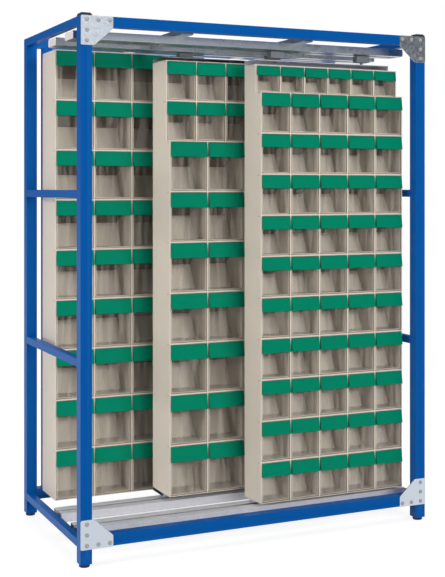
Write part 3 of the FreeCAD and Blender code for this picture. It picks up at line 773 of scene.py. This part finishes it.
@dataclass(frozen=True)
class SteelFrame:
    """Square-tube frame with gusset plates bolted over its front corners."""

    tube_round: float = 2.6 * MM
    upright_round: float = 1.8 * MM
    cap_round: float = 1.2 * MM
    foot_round: float = 0.8 * MM
    plate_round: float = 0.7 * MM
    plate_sheet: float = 3.0 * MM
    plate_width: float = 113.0 * MM
    plate_height: float = 98.0 * MM
    plate_beam_leg: float = 39.0 * MM
    plate_post_leg: float = 47.0 * MM
    plate_corner: float = 5.0 * MM
    bolt_edge: tuple[float, float] = (21.5 * MM, 13.5 * MM)
    bolt_pitch: tuple[float, float] = (40.0 * MM, 35.0 * MM)
    bolt_radius: float = 5.4 * MM
    bolt_head: float = 3.6 * MM
    bolt_crown: float = 0.8 * MM
    bolt_top_share: float = 0.82
    washer_radius: float = 7.2 * MM
    washer_sheet: float = 0.9 * MM
    member_half: float = 22 * MM
    member_floor: float = 3 * MM
    rail_half: float = 46 * MM
    seats: tuple[tuple[int, int], ...] = ((0, 0), (1, 0), (2, 0), (0, 1), (0, 2))

    def build(self) -> None:
        """Makes every piece of the frame."""
        tubes = (
            "front_posts", "rear_posts", "top_beams", "bottom_beams", "side_beams", "side_rungs"
        )
        for node in tubes:
            softened(node, node.removesuffix("s") + "_tubes", BLUE, self.tube_round, 3)
        softened("rear_uprights", "rear_upright_tubes", BLUE, self.upright_round, 3)
        softened("post_caps", "moulded_post_caps", NYLON, self.cap_round, 3)
        softened("levelling_feet", "moulded_feet", NYLON, self.foot_round)
        self.plates()
        self.bolts()

    def plate_outline(self) -> Outline:
        """Draws the plate from the frame's corner, along the beam and up the post.

        Returns:
            Points in X and Z, with the corners rounded.
        """
        corners = [
            (0.0, 0.0),
            (self.plate_width, 0.0),
            (self.plate_width, self.plate_beam_leg),
            (self.plate_post_leg, self.plate_height),
            (0.0, self.plate_height),
        ]
        steps = 4
        outline = []
        for index, here in enumerate(corners):
            corner = Vector(here)
            to_last = (Vector(corners[index - 1]) - corner).normalized()
            to_next = (Vector(corners[(index + 1) % len(corners)]) - corner).normalized()
            start, end = corner + to_last * self.plate_corner, corner + to_next * self.plate_corner
            for step in range(steps + 1):
                share = step / steps
                point = start.lerp(corner, share).lerp(corner.lerp(end, share), share)
                outline.append(tuple(point))
        return outline

    def corners(self) -> list[tuple[Vector, int, int]]:
        """Finds each gusset's corner on the frame's front.

        Returns:
            The corners, each with the ways along the beam and up or down the post.
        """
        low, high = (Vector(corner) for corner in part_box("gusset_plates"))
        return [
            (Vector((x, high.y, z)), along, up)
            for x, along in ((low.x, 1), (high.x, -1))
            for z, up in ((low.z, 1), (high.z, -1))
        ]

    def plates(self) -> None:
        """Makes the four gusset plates, mirrored copies of one."""
        plate = prism("gusset_plate", self.plate_outline(), self.plate_sheet)
        places = [
            Matrix.Translation(corner) @ Matrix.Diagonal((along, -1, up, 1))
            for corner, along, up in self.corners()
        ]
        name = "bright_gusset_plates"
        mirrored = joined(name + "_mirrored", [plate] * len(places), places)
        piece = placed(name, mesh_from(opened(mirrored), name))
        dress_piece(soften(piece, self.plate_round), BRIGHT_ZINC, "gusset_plates")

    def bolt_mesh(self) -> Mesh:
        """Makes a hexagon head with a chamfered crown on a washer.

        Returns:
            The bolt, its axis along -Y.
        """
        shape = bmesh.new()
        turn = Matrix.Rotation(math.radians(90), 4, "X")
        sheet, head, radius = self.washer_sheet, self.bolt_head, self.bolt_radius
        shoulder = head - self.bolt_crown
        round_sides, hexagon_sides = 24, 6
        rings = (
            (round_sides, self.washer_radius, self.washer_radius, 0.0, sheet),
            (hexagon_sides, radius, radius, sheet, shoulder),
            (hexagon_sides, radius, radius * self.bolt_top_share, shoulder, head),
        )
        for sides, low_radius, high_radius, low, high in rings:
            lift = Matrix.Translation((0, -(low + high) / 2, 0))
            bmesh.ops.create_cone(
                shape, cap_ends=True, segments=sides, radius1=low_radius, radius2=high_radius,
                depth=high - low, matrix=lift @ turn,
            )
        return mesh_from(shape, "hexagon_bolt", smooth=False)

    def bolts(self) -> None:
        """Makes the gusset bolts, and the bolts that hold the rails."""
        bolt = self.bolt_mesh()
        seats = [
            (
                corner.x + along * (self.bolt_edge[0] + across * self.bolt_pitch[0]),
                corner.y - self.plate_sheet,
                corner.z + up * (self.bolt_edge[1] + rise * self.bolt_pitch[1]),
            )
            for corner, along, up in self.corners()
            for across, rise in self.seats
        ]
        low, high = (Vector(corner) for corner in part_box("rail_cross_members"))
        rails_low, rails_high = (Vector(corner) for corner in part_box("top_rails"))
        tops = [
            (x, y, low.z + self.member_floor)
            for x in (low.x + self.member_half, high.x - self.member_half)
            for y in (rails_low.y + self.rail_half, rails_high.y - self.rail_half)
        ]
        members = [
            grown("gusset_bolts", points_tree(), bolt, BOLT, seats, Turn=(0, 0, 0)),
            grown("rail_bolts", points_tree(), bolt, BOLT, tops, Turn=(-math.pi / 2, 0, 0)),
        ]
        dress_piece(placed("zinc_bolts", joined("zinc_bolts", members)), BOLT, "frame_bolts")


# ------------------------------------------------------------------ rails and tracks


@dataclass(frozen=True)
class Runway:
    """Rolled C rails over the sliding panels and tracks under them."""

    rolled_round: float = 1.1 * MM
    end_corner: float = 7.0 * MM
    end_round: float = 0.8 * MM

    def build(self) -> None:
        """Makes the rails, tracks, cross members and end plates."""
        for node, name, finish in (
            ("top_rails", "rolled_top_rails", ZINC),
            ("rail_cross_members", "pressed_cross_members", ZINC),
            ("front_bottom_track", "rolled_front_track", TRACK_AND_LIT_HANGER_ZINC),
            ("middle_bottom_track", "rolled_middle_track", TRACK_AND_LIT_HANGER_ZINC),
        ):
            softened(node, name, finish, self.rolled_round)
        self.rail_ends()

    def rail_ends(self) -> None:
        """Makes the four end plates, each with well-rounded corners."""
        ends = clean_copy("rail_end_plates", "moulded_rail_ends")
        shape = opened(ends.data)
        across = [
            edge for edge in shape.edges
            if abs((edge.verts[0].co - edge.verts[1].co).normalized().x) > MOSTLY
        ]
        bmesh.ops.bevel(
            shape, geom=across, offset=self.end_corner, segments=4, profile=0.5, affect="EDGES"
        )
        shape.to_mesh(ends.data)
        shape.free()
        dress_piece(soften(ends, self.end_round), RAIL_END, "rail_end_plates")


# ------------------------------------------------------------------ bins, strips and housings


@dataclass(frozen=True)
class RowSizes:
    """A row of bins: how many, and the housing's and the strip's own sizes."""

    bins: int
    height: float
    depth: float
    foot: float
    strip_height: float
    strip_depth: float


class RowKind(Enum):
    """The three sizes of row."""

    SIX = RowSizes(6, 101 * MM, 91 * MM, 55 * MM, 34 * MM, 9 * MM)
    FIVE = RowSizes(5, 148 * MM, 133 * MM, 82 * MM, 47 * MM, 11 * MM)
    FOUR = RowSizes(4, 185 * MM, 168 * MM, 105 * MM, 54 * MM, 12 * MM)


@dataclass(frozen=True)
class Bins:
    """Clear tilting bins and their green strips, as the housings hold them."""

    housing_width: float = 600 * MM
    side_wall: float = 4 * MM
    partition: float = 5 * MM
    shelf: float = 3 * MM
    back_wall: float = 3 * MM
    side_gap: float = 0.6 * MM
    floor_gap: float = 0.5 * MM
    head_gap: float = 2 * MM
    swing_gap: float = 0.8 * MM
    back_gap: float = 8 * MM
    back_drop: float = 8 * MM
    wall: float = 1.8 * MM
    corner: float = 5.0 * MM
    rim_round: float = 0.5 * MM
    tilt: float = math.radians(45)
    pin_inset: float = 4 * MM
    pin_radius: float = 2 * MM
    pin_reach: float = 1.8 * MM
    pin_chamfer: float = 0.3 * MM
    strip_top: float = 3 * MM
    strip_heel: float = 5 * MM
    strip_lip: float = 2.4 * MM
    strip_bow: float = 0.9 * MM
    strip_round: float = 0.6 * MM
    label_margin: float = 2.5 * MM
    label_slope: float = 0.5 * MM
    label_depth: float = 0.6 * MM

    def pitch(self, kind: RowKind) -> float:
        """From one bin of a row to the next."""
        inner = self.housing_width - 2 * self.side_wall + self.partition
        return inner / kind.value.bins

    def width(self, kind: RowKind) -> float:
        """Over the outside of one bin."""
        return self.pitch(kind) - self.partition - 2 * self.side_gap

    def front_height(self, kind: RowKind) -> float:
        """The front wall of one bin."""
        return kind.value.height - 2 * self.shelf - self.floor_gap - self.head_gap

    def side_view(self, kind: RowKind) -> Outline:
        """Draws a bin from the side, so that it clears the shelf above as it tilts.

        Args:
            kind: the kind of row.

        Returns:
            Points in Y and Z from the front lower edge, open between the last two.
        """
        front, pin = self.front_height(kind), self.pin_inset
        above = front - pin
        ceiling = above + self.head_gap - self.swing_gap
        shoulder = pin + math.sqrt(ceiling**2 - above**2)
        back = kind.value.depth - self.back_wall - self.back_gap
        reach = ceiling / math.cos(self.tilt) - (back - pin) * math.tan(self.tilt)
        top = pin + reach - self.back_drop
        return [(0, 0), (kind.value.foot, 0), (back, top), (shoulder, front), (0, front)]

    @cache
    def bin_mesh(self, kind: RowKind) -> Mesh:
        """Makes one thin-walled bin with rounded corners, an open top and two hinge pins.

        Args:
            kind: the kind of row.

        Returns:
            The bin, its front lower left corner at the origin.
        """
        width, outline = self.width(kind), self.side_view(kind)
        shape = bmesh.new()
        left = [shape.verts.new((0, y, z)) for y, z in outline]
        right = [shape.verts.new((width, y, z)) for y, z in outline]
        front_low, foot, back, shoulder, front_top = range(5)
        shape.faces.new([left[at] for at in (front_low, front_top, shoulder, back, foot)])
        shape.faces.new([right[at] for at in (front_low, foot, back, shoulder, front_top)])
        walls = ((front_low, foot), (foot, back), (front_top, front_low))
        for first, second in walls:
            shape.faces.new([left[first], left[second], right[second], right[first]])
        bmesh.ops.recalc_face_normals(shape, faces=shape.faces)
        middle = Vector((width / 2, kind.value.foot / 2, self.front_height(kind) / 2))
        if (shape.faces[0].calc_center_median() - middle).dot(shape.faces[0].normal) < 0:
            bmesh.ops.reverse_faces(shape, faces=shape.faces)
        folded = [edge for edge in shape.edges if len(edge.link_faces) == 2]
        bmesh.ops.bevel(
            shape, geom=folded, offset=self.corner, segments=3, profile=0.5, affect="EDGES"
        )
        shell = placed("clear_bin", written(shape, "clear_bin"))
        thick = shell.modifiers.new("wall", "SOLIDIFY")
        thick.thickness = self.wall
        thick.offset = -1
        thick.use_even_offset = True
        hollow = settled(soften(shell, self.rim_round, 1), "clear_bin")
        radius, reach, chamfer = self.pin_radius, self.pin_reach, self.pin_chamfer
        profile = [(0, 0), (radius, 0), (radius, reach - chamfer), (radius - chamfer, reach),
                   (0, reach)]
        pin = turned("hinge_pin", profile, 16)
        seats = [
            Matrix.Translation((x, self.pin_inset, self.pin_inset)) @ Matrix.Rotation(angle, 4, "Z")
            for x, angle in ((0.0, math.pi / 2), (width, -math.pi / 2))
        ]
        return joined("clear_bin", [hollow, pin, pin], [Matrix.Identity(4), *seats])

    @cache
    def strip_mesh(self, kind: RowKind) -> Mesh:
        """Makes one strip: a bowed face over a rolled lower lip, with a label recess.

        Args:
            kind: the kind of row.

        Returns:
            The strip, its back lower left corner at the origin.
        """
        height, depth, lip = kind.value.strip_height, kind.value.strip_depth, self.strip_lip
        outline = [(0.0, height), (0.0, self.strip_heel), (lip - depth, 0.0), (-depth, lip / 2)]
        face_low, steps = len(outline), 5
        for step in range(steps + 1):
            share = step / steps
            lean = (depth - self.strip_top) * share - self.strip_bow * math.sin(math.pi * share)
            outline.append((max(lean, 0.0) - depth, lip + (height - lip) * share))
        shape = bmesh.new()
        width = self.width(kind)
        left = [shape.verts.new((0, y, z)) for y, z in outline]
        right = [shape.verts.new((width, y, z)) for y, z in outline]
        sides = []
        for at in range(len(outline)):
            after = (at + 1) % len(outline)
            sides.append(shape.faces.new([left[at], right[at], right[after], left[after]]))
        shape.faces.new(left)
        shape.faces.new(list(reversed(right)))
        bmesh.ops.recalc_face_normals(shape, faces=shape.faces)
        label = sides[face_low:face_low + steps]
        bmesh.ops.inset_region(
            shape, faces=label, thickness=self.label_margin, depth=0.0, use_even_offset=True
        )
        bmesh.ops.inset_region(
            shape, faces=label, thickness=self.label_slope, depth=-self.label_depth
        )
        strip = placed("green_strip", written(shape, "green_strip"))
        return settled(soften(strip, self.strip_round), "green_strip")


@dataclass(frozen=True)
class Panel:
    """One panel of the rack: housings in a stack, with their bins and strips."""

    name: str
    bins: Bins
    housing_round: float = 0.7 * MM

    def build(self) -> None:
        """Makes the housings, each row of bins and strips, and the covered ones."""
        rows = [node for node in frame["nodes"] if node.startswith(f"{self.name}_row_")]
        self.housings(rows)
        for node in sorted(rows):
            self.row(node)
        if f"{self.name}_bins_covered" in frame["nodes"]:
            self.covered_rows(rows)

    def housings(self, rows: Sequence[str], beside: float = MM, near: float = 0.2 * MM) -> None:
        """Makes the stack of housings, with the faces inside its cells marked for painted shade.

        Args:
            rows: the nodes of the panel's rows.
            beside: how far off a face the room is that it looks into.
            near: how far from a seam a face still counts as on it.
        """
        node = f"{self.name}_modules"
        under_bin = self.bins.shelf + self.bins.floor_gap
        fronts = sorted(
            (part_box(row)[0][2] - under_bin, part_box(row)[0][1] + self.kind_of(row).value.strip_depth)
            for row in rows
        )
        seams = [seam for seam, front in fronts]
        stack = clean_copy(node, f"{self.name}_ivory_housings", seams)
        low, high = (Vector(corner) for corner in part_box(node))
        # mark the faces that look into the cells, which take painted shade
        shade_marks = stack.data.attributes.new("inner_face", "FLOAT", "FACE")
        for face, mark in zip(stack.data.polygons, shade_marks.data):
            room = face.center + face.normal * beside
            front = max(pair for pair in fronts if pair[0] < face.center.z + beside)[1]
            on_seam = min(abs(face.center.z - seam) for seam in [*seams, high.z]) < near
            flat = abs(face.normal.z) > MOSTLY and on_seam
            within = low.x < room.x < high.x and front < room.y < high.y
            mark.value = float(within and not flat)
        dress_piece(soften(stack, self.housing_round), IVORY, node)

    def kind_of(self, node: str) -> RowKind:
        """Finds the kind of a row by the height of its bins.

        Args:
            node: the row's node.

        Returns:
            The kind.
        """
        low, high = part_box(node)
        return min(
            RowKind, key=lambda kind: abs(self.bins.front_height(kind) - (high[2] - low[2]))
        )

    def seat(self, node: str) -> tuple[RowKind, int, Point]:
        """Finds what a row holds and where.

        Args:
            node: the row's node, which holds the bins that tilt.

        Returns:
            The row's kind, how many of its bins tilt, and the front lower left corner of the
            first one.
        """
        low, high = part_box(node)
        kind = self.kind_of(node)
        count = round((high[0] - low[0]) / self.bins.pitch(kind))
        return kind, count, (low[0] + self.bins.pin_reach, low[1] + kind.value.strip_depth, low[2])

    def repeated(
        self, name: str, kind: RowKind, count: int, start: Point, finish: Finish
    ) -> Mesh:
        """Makes a run of bins or strips.

        Args:
            name: the mesh's name.
            kind: the kind of row.
            count: how many.
            start: the first bin's front lower left corner.
            finish: CLEAR for bins and GREEN for strips.

        Returns:
            The run as one mesh.
        """
        if finish is CLEAR:
            master, lift = self.bins.bin_mesh(kind), 0.0
        else:
            master = self.bins.strip_mesh(kind)
            lift = self.bins.front_height(kind) - kind.value.strip_height
        run = grown(name, row_tree(), master, finish, Count=count, Pitch=self.bins.pitch(kind))
        run.transform(Matrix.Translation(Vector(start) + Vector((0, 0, lift))))
        return run

    def row(self, node: str) -> None:
        """Makes the bins of one row that tilt, and their strips.

        Args:
            node: the row's node.
        """
        kind, count, start = self.seat(node)
        for finish, what in ((CLEAR, "clear_bins"), (GREEN, "green_strips")):
            name = f"{node}_{what}"
            run = self.repeated(name, kind, count, start, finish)
            dress_piece(placed(name, run), finish, node)

    def covered_rows(self, rows: Sequence[str]) -> None:
        """Makes the bins and strips that the panel in front covers at rest.

        Args:
            rows: the nodes of the panel's rows.
        """
        for finish, colour, what in ((CLEAR, "clear", "bins"), (GREEN, "green", "strips")):
            runs = []
            for node in rows:
                kind, free, (across, front, floor) = self.seat(node)
                start = (across + free * self.bins.pitch(kind), front, floor)
                rest = kind.value.bins - free
                runs.append(self.repeated(f"{node}_rest", kind, rest, start, finish))
            name = f"{self.name}_covered_{colour}_{what}"
            dress_piece(placed(name, joined(name, runs)), finish, f"{self.name}_{what}_covered")


@dataclass(frozen=True)
class SlidingPanel(Panel):
    """A panel that hangs on two trolleys and is guided below."""

    sheet: Finish = ZINC
    sheet_round: float = 0.8 * MM
    trolley_round: float = 0.9 * MM
    wheel_width: float = 12 * MM
    wheel_crown: float = 0.6 * MM
    wheel_recess: float = 1.2 * MM
    rim_face: float = 2.2 * MM
    rim_root: float = 2.5 * MM
    hub_radius: float = 6.5 * MM
    axle_radius: float = 4 * MM
    axle_chamfer: float = 0.6 * MM
    press_fit: float = 0.2 * MM

    def build(self) -> None:
        """Makes the panel, its hanger frame, its trolleys and its wheels."""
        super().build()
        name = self.name
        softened(f"{name}_panel_frame", f"{name}_hanger_frame", self.sheet, self.sheet_round)
        softened(f"{name}_trolleys", f"{name}_trolley_blocks", BLACKENED, self.trolley_round)
        for side in ("left", "right"):
            self.wheelset(f"{name}_wheelset_{side}")

    def wheelset(self, node: str) -> None:
        """Makes two crowned wheels with recessed faces, on an axle.

        Args:
            node: the wheelset's node.
        """
        low, high = (Vector(corner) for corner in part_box(node))
        radius, half = (high.z - low.z) / 2, (high.y - low.y) / 2
        inner, crown, axle = half - self.wheel_width, self.wheel_crown, self.axle_radius
        hub, recessed, chamfer = self.hub_radius, inner + self.wheel_recess, self.axle_chamfer
        near_side = [
            (axle - self.press_fit, inner),
            (hub, inner),
            (hub, recessed),
            (radius - self.rim_root, recessed),
            (radius - self.rim_face, inner),
            (radius - crown, inner + crown),
        ]
        far_side = [(out, inner + half - along) for out, along in reversed(near_side)]
        tread = (radius, inner + self.wheel_width / 2)
        wheel = turned(
            node + "_wheel", [(0.0, inner), *near_side, tread, *far_side, (0.0, half)]
        )
        rod_end = [(axle, half - chamfer), (axle - chamfer, half), (0.0, half)]
        rod = turned(
            node + "_rod", [(out, -along) for out, along in reversed(rod_end)] + rod_end
        )
        place = Matrix.Translation((low + high) / 2)
        places = [place, place @ Matrix.Rotation(math.pi, 4, "Z"), place]
        name = node + "_wheels"
        dress_piece(placed(name, joined(name, [wheel, wheel, rod], places)), BLACKENED, node)


# ------------------------------------------------------------------ camera, lamps and floor


@dataclass(frozen=True)
class Studio:
    """The camera's place, the lamps and the floor."""

    camera_place: Point = (-1.8361, -3.9874, 1.2511)
    camera_turn: float = 0.4314
    lens: float = 72.16
    sensor: float = 36.0
    frame_pixels: tuple[int, int] = (445, 577)
    horizon_row: float = 187.1
    far_clip: float = 100.0
    aim: Point = (0.0, 0.0, 0.9)
    ambient: float = 0.27
    ahead: float = 0.19
    ahead_reach: tuple[float, float] = (0.12, 0.28)
    ahead_strength: float = 1.3
    aside_strength: float = 0.12
    floor_size: float = 60.0
    floor_bounce: str = "#B4B4B4"
    floor_seen: str = "#F4F4F4"
    floor_glow: float = 1.35
    floor_glow_share: float = 0.6
    floor_fade: tuple[float, float] = (1.3, 3.0)

    def build(self) -> None:
        """Makes the camera, the light and the floor."""
        self.camera()
        self.lamps()
        self.world()
        self.floor()
        bpy.context.scene.view_settings.view_transform = "Standard"

    def camera(self) -> None:
        """Makes a level camera, its frame shifted down from the horizon."""
        data = bpy.data.cameras.new("camera")
        data.lens = self.lens
        data.sensor_width = self.sensor
        height = self.frame_pixels[1]
        data.shift_y = -(height / 2 - self.horizon_row) / max(self.frame_pixels)
        data.clip_end = self.far_clip
        eye = bpy.data.objects.new("camera", data)
        eye.location = self.camera_place
        eye.rotation_euler = (math.pi / 2, 0, -self.camera_turn)
        bpy.context.scene.collection.objects.link(eye)
        bpy.context.scene.camera = eye

    def lamps(self) -> None:
        """Makes a wide key in front of the rack, and weaker lamps left, over and behind it."""
        for name, place, width, height, power in (
            ("front_key", (1.6, -10.0, 3.4), 5.5, 1.6, 465),
            ("left_fill", (-5.2, -1.0, 1.7), 3.0, 2.6, 124),
            ("top_light", (0.0, -0.9, 4.6), 3.0, 2.0, 50),
            ("rear_fill", (1.4, 6.4, 3.2), 3.5, 2.0, 190),
        ):
            data = bpy.data.lights.new(name, "AREA")
            data.shape = "RECTANGLE"
            data.size, data.size_y = width, height
            data.energy = power
            lamp = bpy.data.objects.new(name, data)
            lamp.location = place
            way = Vector(self.aim) - Vector(place)
            lamp.rotation_euler = way.to_track_quat("-Z", "Y").to_euler()
            lamp.visible_glossy = False
            bpy.context.scene.collection.objects.link(lamp)

    def world(self) -> None:
        """Makes an even light; white to the camera and ahead of metal, and dim to its sides."""
        world = bpy.data.worlds.new("studio")
        bpy.context.scene.world = world
        world.use_nodes = True
        tree = world.node_tree
        tree.nodes.clear()
        way = add_node(
            tree, "ShaderNodeSeparateXYZ",
            links={"Vector": add_node(tree, "ShaderNodeTexCoord").outputs["Generated"]},
        )
        aside = add_node(
            tree, "ShaderNodeMath", {"operation": "SUBTRACT", 1: self.ahead},
            {0: way.outputs["X"]},
        )
        apart = add_node(
            tree, "ShaderNodeMath", {"operation": "ABSOLUTE"}, {0: aside.outputs[0]}
        )
        near, far = self.ahead_reach
        mirrored = add_node(
            tree, "ShaderNodeMapRange",
            {
                "From Min": near,
                "From Max": far,
                "To Min": self.ahead_strength,
                "To Max": self.aside_strength,
            },
            {"Value": apart.outputs[0]},
        )
        seen = add_node(tree, "ShaderNodeLightPath")
        in_metal = add_node(
            tree, "ShaderNodeMix", {2: self.ambient},
            {0: seen.outputs["Is Glossy Ray"], 3: mirrored.outputs[0]},
        )
        direct = add_node(
            tree, "ShaderNodeMath", {"operation": "MAXIMUM"},
            {0: seen.outputs["Is Camera Ray"], 1: seen.outputs["Is Transmission Ray"]},
        )
        strength = add_node(
            tree, "ShaderNodeMix", {3: 1.0}, {0: direct.outputs[0], 2: in_metal.outputs[0]}
        )
        background = add_node(
            tree, "ShaderNodeBackground", {"Color": (1, 1, 1, 1)}, {"Strength": strength.outputs[0]}
        )
        add_node(tree, "ShaderNodeOutputWorld", links={"Surface": background.outputs[0]})

    def floor(self) -> None:
        """Makes a white floor that keeps the rack's shadow and turns plain white away from it."""
        shape = bmesh.new()
        bmesh.ops.create_grid(shape, x_segments=1, y_segments=1, size=self.floor_size / 2)
        ground = placed("studio_floor", mesh_from(shape, "studio_floor", smooth=False))
        white = bpy.data.materials.new("white_floor")
        white.use_nodes = True
        tree = white.node_tree
        tree.nodes.clear()
        ray = add_node(tree, "ShaderNodeLightPath")
        mirrored = add_node(
            tree, "ShaderNodeMath", {"operation": "MAXIMUM"},
            {0: ray.outputs["Is Glossy Ray"], 1: ray.outputs["Is Transmission Ray"]},
        )
        seen = add_node(
            tree, "ShaderNodeMath", {"operation": "MAXIMUM"},
            {0: ray.outputs["Is Camera Ray"], 1: mirrored.outputs[0]},
        )
        bounce = add_node(
            tree, "ShaderNodeMix",
            {"data_type": "RGBA", 6: linear(self.floor_bounce), 7: linear(self.floor_seen)},
            {0: seen.outputs[0]},
        )
        matt = add_node(tree, "ShaderNodeBsdfDiffuse", links={"Color": bounce.outputs[2]})
        glow, plain = (
            add_node(tree, "ShaderNodeEmission", {"Color": (1, 1, 1, 1), "Strength": strength})
            for strength in (self.floor_glow, 1.0)
        )
        direct = add_node(
            tree, "ShaderNodeMath", {"operation": "MULTIPLY", 1: self.floor_glow_share},
            {0: seen.outputs[0]},
        )
        close = add_node(
            tree, "ShaderNodeMixShader",
            links={0: direct.outputs[0], 1: matt.outputs[0], 2: glow.outputs[0]},
        )
        reach = add_node(
            tree, "ShaderNodeVectorMath", {"operation": "LENGTH"},
            {0: add_node(tree, "ShaderNodeTexCoord").outputs["Object"]},
        )
        near, far = self.floor_fade
        fade = add_node(
            tree, "ShaderNodeMapRange", {"From Min": near, "From Max": far},
            {"Value": reach.outputs["Value"]},
        )
        away = add_node(
            tree, "ShaderNodeMath", {"operation": "MULTIPLY"},
            {0: fade.outputs[0], 1: seen.outputs[0]},
        )
        mixed = add_node(
            tree, "ShaderNodeMixShader",
            links={0: away.outputs[0], 1: close.outputs[0], 2: plain.outputs[0]},
        )
        add_node(tree, "ShaderNodeOutputMaterial", links={"Surface": mixed.outputs[0]})
        ground.data.materials.append(white)


def main() -> None:
    """Builds the rack and its studio."""
    logging.basicConfig(level=logging.INFO, format="%(name)s %(message)s")
    Studio().build()
    SteelFrame().build()
    Runway().build()
    bins = Bins()
    Panel("rear", bins).build()
    SlidingPanel("middle", bins).build()
    # the front hanger frame's pale zinc is painted light; the middle one keeps the rail zinc
    SlidingPanel("front", bins, sheet=TRACK_AND_LIT_HANGER_ZINC).build()


if __name__ == "__main__":
    main()
